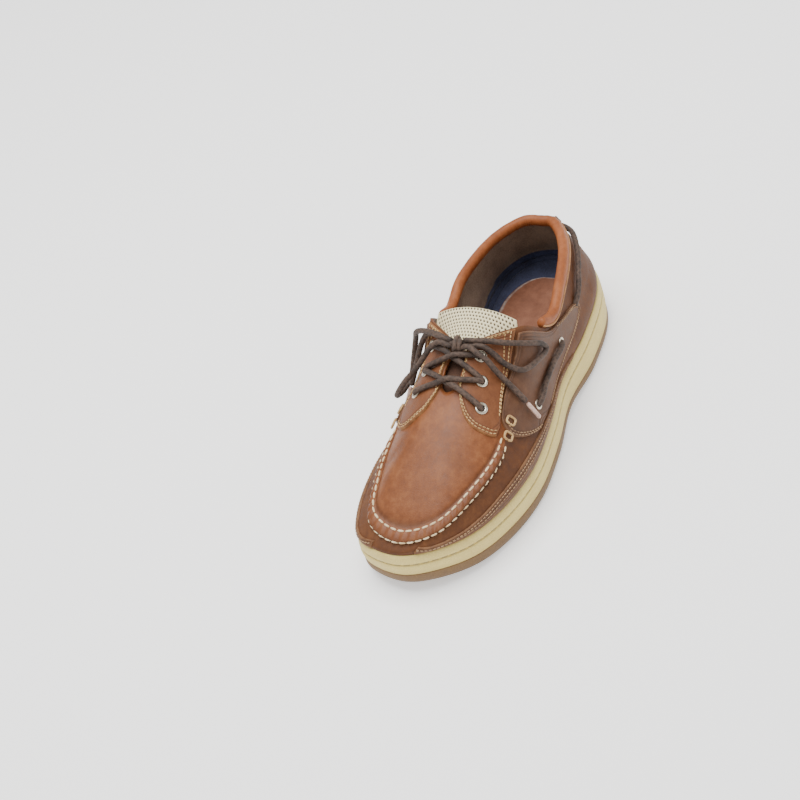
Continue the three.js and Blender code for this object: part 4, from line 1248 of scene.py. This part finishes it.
def midsole_piece():
    """Cream midsole: from the tread line up a slightly bulged wall to a stitched groove and a rounded lip,
    then down inside the cup to its floor."""
    s = np.arange(SOLE_COLUMNS) * STATIONS / SOLE_COLUMNS
    deck = along(DECK_RING, s)[:, 2]
    tread = along(TREAD_RING, s)[:, 2]
    foot = tread + GAP / 2
    rim = deck + RIM
    bulge = rim - MIDSOLE_WALL[0, 1] * (rim - tread) / USUAL_WALL_HEIGHT
    rings = []
    low_dark_groove_shade = []
    for share in np.linspace(0, 1, FOOT_RINGS, endpoint=False):
        out = FOOT_OUT + BULGE_OUT * math.sin(share * math.pi / 2)
        ring = sole_at(GROUND_RING, s, np.full(s.shape, out))
        ring[:, 2] = foot + (bulge - foot) * share
        rings.append(ring)
        # darker towards the bottom of the midsole wall
        low_dark_groove_shade.append(np.full(s.shape, FOOT_DARKENING * (1 - share) ** 2))
    for k, (out, below) in enumerate(MIDSOLE_WALL):
        ring = sole_at(DECK_RING, s, np.full(s.shape, out))
        ring[:, 2] = bulge if k == 0 else np.maximum(rim - below, bulge + 0.1 * k)
        rings.append(ring)
        # painted shade in the stitch groove
        low_dark_groove_shade.append(np.full(s.shape, GROOVE_PAINTED_SHADE if out < 0 and below > GROOVE_LOWEST else 0.0))
    rings.append(sole_at(DECK_RING, s, np.full(s.shape, -CUP_INSET)))
    low_dark_groove_shade.append(np.zeros(s.shape))
    sole_stack("midsole_rubber", rings, [MIDSOLE_RUBBER, FOOTBED_CLOTH], ["midsole"], "cream_rubber",
               np.array(low_dark_groove_shade), len(rings) - CUP_RINGS)


TREAD_DEPTH = 1.3
TREAD_PITCH = 5.2
TREAD_MARGIN = 7.0
TREAD_WAVE = 1.3
TREAD_WAVE_LENGTH = 11.0
TREAD_CUT_HALF = 0.75
OUTSOLE_LOW_DARKENING = 0.9
# outsole wall, bottom to top: step out from the outline and share of the height
OUTSOLE_WALL = np.array([
    [-2.6, 0.0], [-1.4, 0.07], [-0.6, 0.22], [0.1, 0.42], [0.3, 0.6], [0.25, 0.82], [0.0, 0.97], [-0.5, 1.0],
])


def outsole_piece():
    """Gum outsole: a rounded wall, and a bottom of rungs between its two edges cut by wavy cross grooves."""
    s = np.arange(SOLE_COLUMNS) * STATIONS / SOLE_COLUMNS
    low = np.maximum(along(GROUND_RING, s)[:, 2], 0)
    high = along(TREAD_RING, s)[:, 2] - GAP / 2
    wall = run_through(OUTSOLE_WALL, np.linspace(0, 1, 22))
    rings = []
    low_dark_groove_shade = []
    for out, share in wall:
        ring = sole_at(GROUND_RING, s, np.full(s.shape, out))
        ring[:, 2] = low + (high - low) * share
        rings.append(ring)
        # darker towards the bottom of the outsole wall
        low_dark_groove_shade.append(np.full(s.shape, OUTSOLE_LOW_DARKENING * (1 - share) ** 2))
    half = SOLE_COLUMNS // 2
    across = 61
    w = np.linspace(0, 1, across)[1:-1]
    lateral = rings[0][1:half]
    medial = rings[0][:half:-1]
    floor = lateral[:, None, :] * (1 - w[None, :, None]) + medial[:, None, :] * w[None, :, None]
    x, y = floor[..., 0], floor[..., 1]
    wave = (x + TREAD_WAVE * np.sin(2 * math.pi * y / TREAD_WAVE_LENGTH)) / TREAD_PITCH
    cut = np.exp(-(((wave - np.floor(wave) - 0.5) * TREAD_PITCH) / TREAD_CUT_HALF) ** 2)
    wide = np.linalg.norm(lateral - medial, axis=1)[:, None]
    inside = smoothstep(np.minimum(w, 1 - w)[None, :] * wide, TREAD_MARGIN - 2, TREAD_MARGIN)
    floor[..., 2] += TREAD_DEPTH * cut * inside
    start = len(rings) * SOLE_COLUMNS
    columns = across - 2
    verts = np.concatenate([np.concatenate(rings), floor.reshape(-1, 3)])
    faces = grid_faces(len(rings), SOLE_COLUMNS, close_columns=True, flip=True)
    faces += rung_faces((len(rings) - 1) * SOLE_COLUMNS, SOLE_COLUMNS, True)
    faces += grid_faces(half - 1, columns, start=start)
    row_start = start + np.arange(half - 1) * columns
    left = np.arange(1, half)
    right = SOLE_COLUMNS - left
    faces += np.stack([left[:-1], row_start[:-1], row_start[1:], left[1:]], 1)[:, ::-1].tolist()
    faces += np.stack([right[:-1], right[1:], row_start[1:] + columns - 1, row_start[:-1] + columns - 1],
                      1)[:, ::-1].tolist()
    heel_fan = [1] + (start + np.arange(columns)).tolist() + [SOLE_COLUMNS - 1]
    toe_fan = [half - 1] + (start + (half - 2) * columns + np.arange(columns)).tolist() + [half + 1]
    faces += [[0, heel_fan[k + 1], heel_fan[k]][::-1] for k in range(len(heel_fan) - 1)]
    faces += [[half, toe_fan[k], toe_fan[k + 1]][::-1] for k in range(len(toe_fan) - 1)]
    # outsole bottom darker, and painted shade in its tread cuts
    low_dark_and_tread_shade = np.concatenate([np.concatenate(low_dark_groove_shade), (0.5 + 0.5 * cut * inside).ravel()])
    make_piece("outsole_rubber", verts, faces, OUTSOLE_RUBBER, ["outsole"], "gum_rubber",
               marks={"low_dark_groove_shade": low_dark_and_tread_shade})


STATION_LENGTH = 14.0
DISH_DEPTH = 0.8
DISH_FROM, DISH_FULL = 4, 26
LAYER_UNDER = 0.9
SOCK_FORWARD = 15.0
HEEL_END, WAIST = 20, 140
EDGE_LINE_IN, EDGE_LINE_HALF = 2.2, 0.8


def insole_layer(name, inset, low, high, stations, width, material, node_names, slot, rounding, forward=0.0):
    """Footbed layer: rungs between lateral and medial points of the inset deck outline, its heel drawn
    forward, dished in the middle, its edge falling in a quarter round; the underside lies flat below."""
    s = np.linspace(stations[0], stations[1], 120)
    w = np.linspace(-1, 1, 61)
    lateral = sole_at(DECK_RING, s, np.full(s.shape, -inset))
    medial = sole_at(DECK_RING, STATIONS - s, np.full(s.shape, -inset))
    share = (w[None, :, None] * width + 1) / 2
    flat = medial[:, None, :] * (1 - share) + lateral[:, None, :] * share
    flat[..., 0] += forward * (1 - smoothstep(flat[..., 0], HEEL_END, WAIST))
    side = (1 - np.abs(w))[None, :] * 0.5 * width * np.linalg.norm(lateral - medial, axis=1)[:, None]
    ends = np.minimum(s - s[0], s[-1] - s)[:, None] * STATION_LENGTH
    edge = np.minimum(side, ends)
    fall = np.sqrt(1 - (1 - np.clip(edge / rounding, 0, 1)) ** 2)
    dish = DISH_DEPTH * smoothstep(edge, DISH_FROM, DISH_FULL)
    top = flat + UP * (low + (high - low) * fall - dish)[..., None]
    under = flat + UP * (low - LAYER_UNDER)
    count = s.size * w.size
    verts = np.concatenate([top.reshape(-1, 3), under.reshape(-1, 3)])
    faces = slab_faces(s.size, w.size, flip=True)
    pale_line = np.exp(-((edge - EDGE_LINE_IN) / EDGE_LINE_HALF) ** 2)
    marks = {"edge": np.concatenate([pale_line.ravel(), np.zeros(count)]), "painted_shade": np.zeros(2 * count)}
    make_piece(name, verts, faces, material, node_names, slot, marks=marks)


midsole_piece()
outsole_piece()
insole_layer("footbed", CUP_INSET + 0.6, GAP + 1.0, INSOLE_THICK + GAP, (0.02, 9.98), 1.0, FOOTBED_CLOTH,
             ["insole"], "sock_leather", 1.5)
insole_layer("heel_sock", LEDGE + WALL + 7.0, INSOLE_THICK - 1.4, INSOLE_THICK + GAP + 0.9, (0.25, 4.9), 0.94,
             SOCK_HIDE, [], "sock_leather", 1.2, forward=SOCK_FORWARD)


# eyelets

def spun(profile, station, rise, lift, steps=36):
    """Profile of radius and height turned about the leather's normal at a hole."""
    profile = np.asarray(profile, float)
    normal = upper_normal(station, rise)
    first = unit(np.cross(normal, UP + np.array([0.3, 0.2, 0])))
    second = np.cross(normal, first)
    spot = leather(station, rise, np.asarray(lift))
    turn = np.arange(steps) * 2 * math.pi / steps
    ring = first[None, :] * np.cos(turn)[:, None] + second[None, :] * np.sin(turn)[:, None]
    points = spot + profile[:, None, :1] * ring[None, :, :] + profile[:, None, 1:] * normal
    return points.reshape(-1, 3), grid_faces(len(profile), steps, close_rows=True, close_columns=True)


EYELET_PROFILE = [
    (2.0, -1.2), (2.5, -1.2), (2.5, 0.05), (4.05, 0.1), (4.25, 0.3), (4.2, 0.62), (3.9, 0.9), (3.4, 1.08),
    (2.8, 1.08), (2.3, 0.86), (2.05, 0.5), (2.0, 0.0),
]
BORE_PROFILE = [(0.05, -0.3), (2.1, -0.3), (2.1, 0.12), (0.05, 0.12)]
SIDE_EYELET_SIZE = 0.78
EYELET_BED = 0.05


def spun_at_holes(profile, lift):
    """One profile spun at every lace hole, smaller at the side ones, as one set of points and faces."""
    shapes = []
    for name, (station, rise) in EYELETS.items():
        size = SIDE_EYELET_SIZE if "side" in name else 1.0
        verts, faces = spun(np.array(profile) * size, station, rise, lift)
        shapes.append((verts, faces, np.ones(len(verts))))
    return joined(shapes)[:2]


make_piece("eyelet_rings", *spun_at_holes(EYELET_PROFILE, PANEL_TOP - EYELET_BED), EYELET_METAL,
           list(EYELETS), "eyelet_metal")
# dark plugs filling the eyelet holes, as painted shadow
make_piece("eyelet_hole_shadows", *spun_at_holes(BORE_PROFILE, PANEL_TOP), HOLE_SHADOW_PAINT, [], "lace_cord")


# stitching

STITCH_RING = np.array([[-0.5, 0.35], [-0.32, 0.9], [0.0, 1.0], [0.32, 0.9], [0.5, 0.35]])
STITCH_SIDES = 6
RUN_STEP = 0.4


def stitch_mesh(name, rows, length, radius, material, slot):
    """Sewn dashes: one small capsule at each place, along its run, its rings scaled by a short profile."""
    centre = np.concatenate([r[0] for r in rows])
    run = np.concatenate([r[1] for r in rows])
    normal = np.concatenate([r[2] for r in rows])
    side = unit(np.cross(normal, run))
    top = np.cross(run, side)
    turn = np.arange(STITCH_SIDES) * 2 * math.pi / STITCH_SIDES
    along_run = STITCH_RING[:, 0] * length
    size = STITCH_RING[:, 1] * radius
    verts = (centre[:, None, None, :] + run[:, None, None, :] * along_run[None, :, None, None]
             + side[:, None, None, :] * (size[:, None] * np.cos(turn)[None, :])[None, :, :, None]
             + top[:, None, None, :] * (size[:, None] * np.sin(turn)[None, :])[None, :, :, None])
    each = len(STITCH_RING) * STITCH_SIDES
    shape = tube_faces(len(STITCH_RING), STITCH_SIDES)
    faces = [[k + n * each for k in face] for n in range(len(centre)) for face in shape]
    # painted shade: each dash darker towards its thin ends, where it sinks into the leather
    shaded_ends = 0.7 + 0.3 * STITCH_RING[:, 1]
    thread_shade = np.broadcast_to(shaded_ends[None, :, None], (len(centre), len(STITCH_RING), STITCH_SIDES))
    return make_piece(name, verts.reshape(-1, 3), faces, material, [], slot, marks={"thread_shade": thread_shade.ravel()})


def sewn_line(s, v, lift, pitch):
    """Places, runs and normals of stitches at an even pitch along a line on the leather."""
    points = leather(s, v, lift)
    normals = upper_normal(s, v)
    length = run_lengths(points)
    at = np.arange(pitch / 2, length[-1], pitch)
    place = read_at(at, length, points)
    ahead = read_at(np.minimum(at + RUN_STEP, length[-1]), length, points)
    behind = read_at(np.maximum(at - RUN_STEP, 0), length, points)
    normal = read_at(at, length, normals)
    return place, unit(ahead - behind), unit(normal)


LINE_READS = 300


def edge_line(place, side, inset, start, stop):
    """Line on a panel a fixed distance inside one side: the share across a row is inset over its length."""
    t = np.linspace(start, stop, LINE_READS)
    across = side in ("back", "front")
    zero, one = np.zeros_like(t), np.ones_like(t)
    ends = [place(zero, t), place(one, t)] if across else [place(t, zero), place(t, one)]
    span = np.linalg.norm(upper_at(*ends[1]) - upper_at(*ends[0]), axis=-1)
    share = np.clip(inset / np.maximum(span, 1e-6), 0, 0.5)
    share = 1 - share if side in ("front", "top") else share
    return place(share, t) if across else place(t, share)


FINE_PITCH = 2.7
FINE_LENGTH = 2.1
STAY_THREAD_RADIUS = 0.42
QUARTER_THREAD_RADIUS = 0.40
STITCH_LIFT = 0.05
# rows sewn on each panel: its side, the share where the row starts and where it stops
STAY_ROWS = [("back", 0.10, 0.98), ("front", 0.04, 0.95), ("top", 0.05, 0.9)]
QUARTER_ROWS = [("back", 0.02, 0.97), ("front", 0.02, 0.42)]
FOXING_ROWS = [("top", 0.02, 0.985)]
TAB_ROW_SHARES = (0.12, 0.88)


def panel_rows(panel, rows, top):
    """Stitches of a panel: each of its rows sewn twice, once in each groove."""
    lift = np.full(LINE_READS, top + STITCH_LIFT)
    return [sewn_line(*edge_line(places[panel], side, inset, start, stop), lift, FINE_PITCH)
            for inset in PANEL_GROOVES for side, start, stop in rows]


tan_rows = []
quarter_rows = []
for side_name in ("lateral", "medial"):
    tan_rows += panel_rows(f"eyestay_{side_name}", STAY_ROWS, PANEL_TOP)
    quarter_rows += panel_rows(f"quarter_{side_name}", QUARTER_ROWS, PANEL_TOP)
    quarter_rows += panel_rows(f"foxing_{side_name}", FOXING_ROWS, FOXING_TOP)
tab_line = np.linspace(0.04, 0.96, LINE_READS)
for tab_share in TAB_ROW_SHARES:
    tab_s, tab_v = tab_place(np.full(LINE_READS, tab_share), tab_line)
    quarter_rows.append(sewn_line(tab_s, tab_v, PANEL_TOP + STITCH_LIFT + tab_arch(tab_s, tab_v), FINE_PITCH))
stitch_mesh("stay_stitching", tan_rows, FINE_LENGTH, STAY_THREAD_RADIUS, TAN_THREAD, "tan_leather")
stitch_mesh("quarter_stitching", quarter_rows, FINE_LENGTH, QUARTER_THREAD_RADIUS, QUARTER_THREAD,
            "tan_leather")

MOC_RISES = (0.945, 1.062)
MOC_LENGTH = 4.5
MOC_THREAD_RADIUS = 0.72
MOC_LIFT = 0.25
moc_s = np.linspace(6.56, 13.44, 1500)
moc_rows = []
for moc_rise in MOC_RISES:
    moc_v = np.full(moc_s.shape, moc_rise)
    moc_rows.append(sewn_line(moc_s, moc_v, seam_relief(moc_s, moc_v) + MOC_LIFT, MOC_PITCH))
stitch_mesh("moc_stitching", moc_rows, MOC_LENGTH, MOC_THREAD_RADIUS, CREAM_THREAD, "tan_leather")

SOLE_STITCH_IN = 0.2
SOLE_STITCH_BELOW = 7.05
SOLE_STITCH_PITCH = 6.2
SOLE_STITCH_LENGTH = 4.2
SOLE_THREAD_RADIUS = 0.55
SOLE_STITCH_MARGIN = 2.0


def sole_stitches():
    """Dashes in the midsole's groove: points of the rim's outline a little in and below, run along it."""
    s = np.linspace(0, STATIONS, 1600)
    points = sole_at(RIM_RING, s, np.full(s.shape, -SOLE_STITCH_IN)) - UP * SOLE_STITCH_BELOW
    length = run_lengths(points)
    at = np.arange(SOLE_STITCH_MARGIN, length[-1] - SOLE_STITCH_MARGIN, SOLE_STITCH_PITCH)
    place = read_at(at, length, points)
    ahead = read_at(at + 0.5, length, points)
    return place, unit(ahead - place), outward(np.interp(at, length, s))


stitch_mesh("sole_stitching", [sole_stitches()], SOLE_STITCH_LENGTH, SOLE_THREAD_RADIUS, SOLE_THREAD,
            "cream_rubber")


LOOP_LONG, LOOP_WIDE = 2.6, 3.0
LOOP_LIFT = 2.3
LOOP_THREAD_RADIUS = 0.8
LOOP_RELIEF = 0.12


def thread_loop(station, rise):
    """Thread loop at the end of the moc seam: a squared oval off the leather, swept with heavy thread."""
    turn = np.linspace(0, 2 * math.pi, 61)
    normal = upper_normal(station, rise)
    run = unit(upper_at(station + 0.01, rise) - upper_at(station - 0.01, rise))
    side = np.cross(normal, run)
    square = (np.abs(np.cos(turn)) ** 4 + np.abs(np.sin(turn)) ** 4) ** -0.25
    oval = (upper_at(station, rise) + normal * LOOP_LIFT + run * (LOOP_LONG * square * np.cos(turn))[:, None]
            + side * (LOOP_WIDE * square * np.sin(turn))[:, None])
    normals = np.broadcast_to(normal, oval.shape)
    return braided_tube(oval, normals, LOOP_THREAD_RADIUS, relief=LOOP_RELIEF)


LOOP_SPOTS = [(6.12, 1.03), (6.42, 1.0)]
loops_made = [thread_loop(spot, rise) for station, rise in LOOP_SPOTS
              for spot in (station, STATIONS - station)]
cord_piece("seam_end_loops", loops_made, [], TAN_THREAD, "tan_leather")


# light and floor

FLOOR_HALF = 4.0
floor_mesh = bpy.data.meshes.new("floor")
floor_corners = [(x * FLOOR_HALF, y * FLOOR_HALF, 0) for x, y in ((-1, -1), (1, -1), (1, 1), (-1, 1))]
floor_mesh.from_pydata(floor_corners, [], [[0, 1, 2, 3]])
floor = bpy.data.objects.new("floor", floor_mesh)
bpy.context.scene.collection.objects.link(floor)
floor_look = bpy.data.materials.new("floor_paper")
floor_look.use_nodes = True
floor_sockets = floor_look.node_tree.nodes["Principled BSDF"].inputs
floor_sockets["Base Color"].default_value = (0.93, 0.93, 0.93, 1)
floor_sockets["Roughness"].default_value = 0.9
floor_sockets["Emission Color"].default_value = (1, 1, 1, 1)
floor_sockets["Emission Strength"].default_value = 0.6
floor_mesh.materials.append(floor_look)

world = bpy.data.worlds.new("studio")
world.use_nodes = True
sky_sockets = world.node_tree.nodes["Background"].inputs
sky_sockets["Color"].default_value = (1.0, 0.99, 0.97, 1)
sky_sockets["Strength"].default_value = 0.85
bpy.context.scene.world = world


def soft_light(name, offset, power, size):
    """Square area light at an offset from the shoe's middle, turned to face it."""
    lamp = bpy.data.lights.new(name, "AREA")
    lamp.energy = power
    lamp.size = size
    light = bpy.data.objects.new(name, lamp)
    bpy.context.scene.collection.objects.link(light)
    light.location = Vector(offset)
    light.rotation_mode = "QUATERNION"
    light.rotation_quaternion = (Vector((0, 0, 0.05)) - Vector(offset)).to_track_quat("-Z", "Y")


# key light, from the camera's side: shares to its right, low and forward, then metres, watts and size
KEY_SHARES = (-0.4, -0.85, -0.65)
KEY_DISTANCE = 1.4
KEY_POWER = 38.0
KEY_SIZE = 1.2
key_place = sum(share * axis for share, axis in zip(KEY_SHARES, camera_axes())) * KEY_DISTANCE
soft_light("key_light", key_place.tolist(), KEY_POWER, KEY_SIZE)
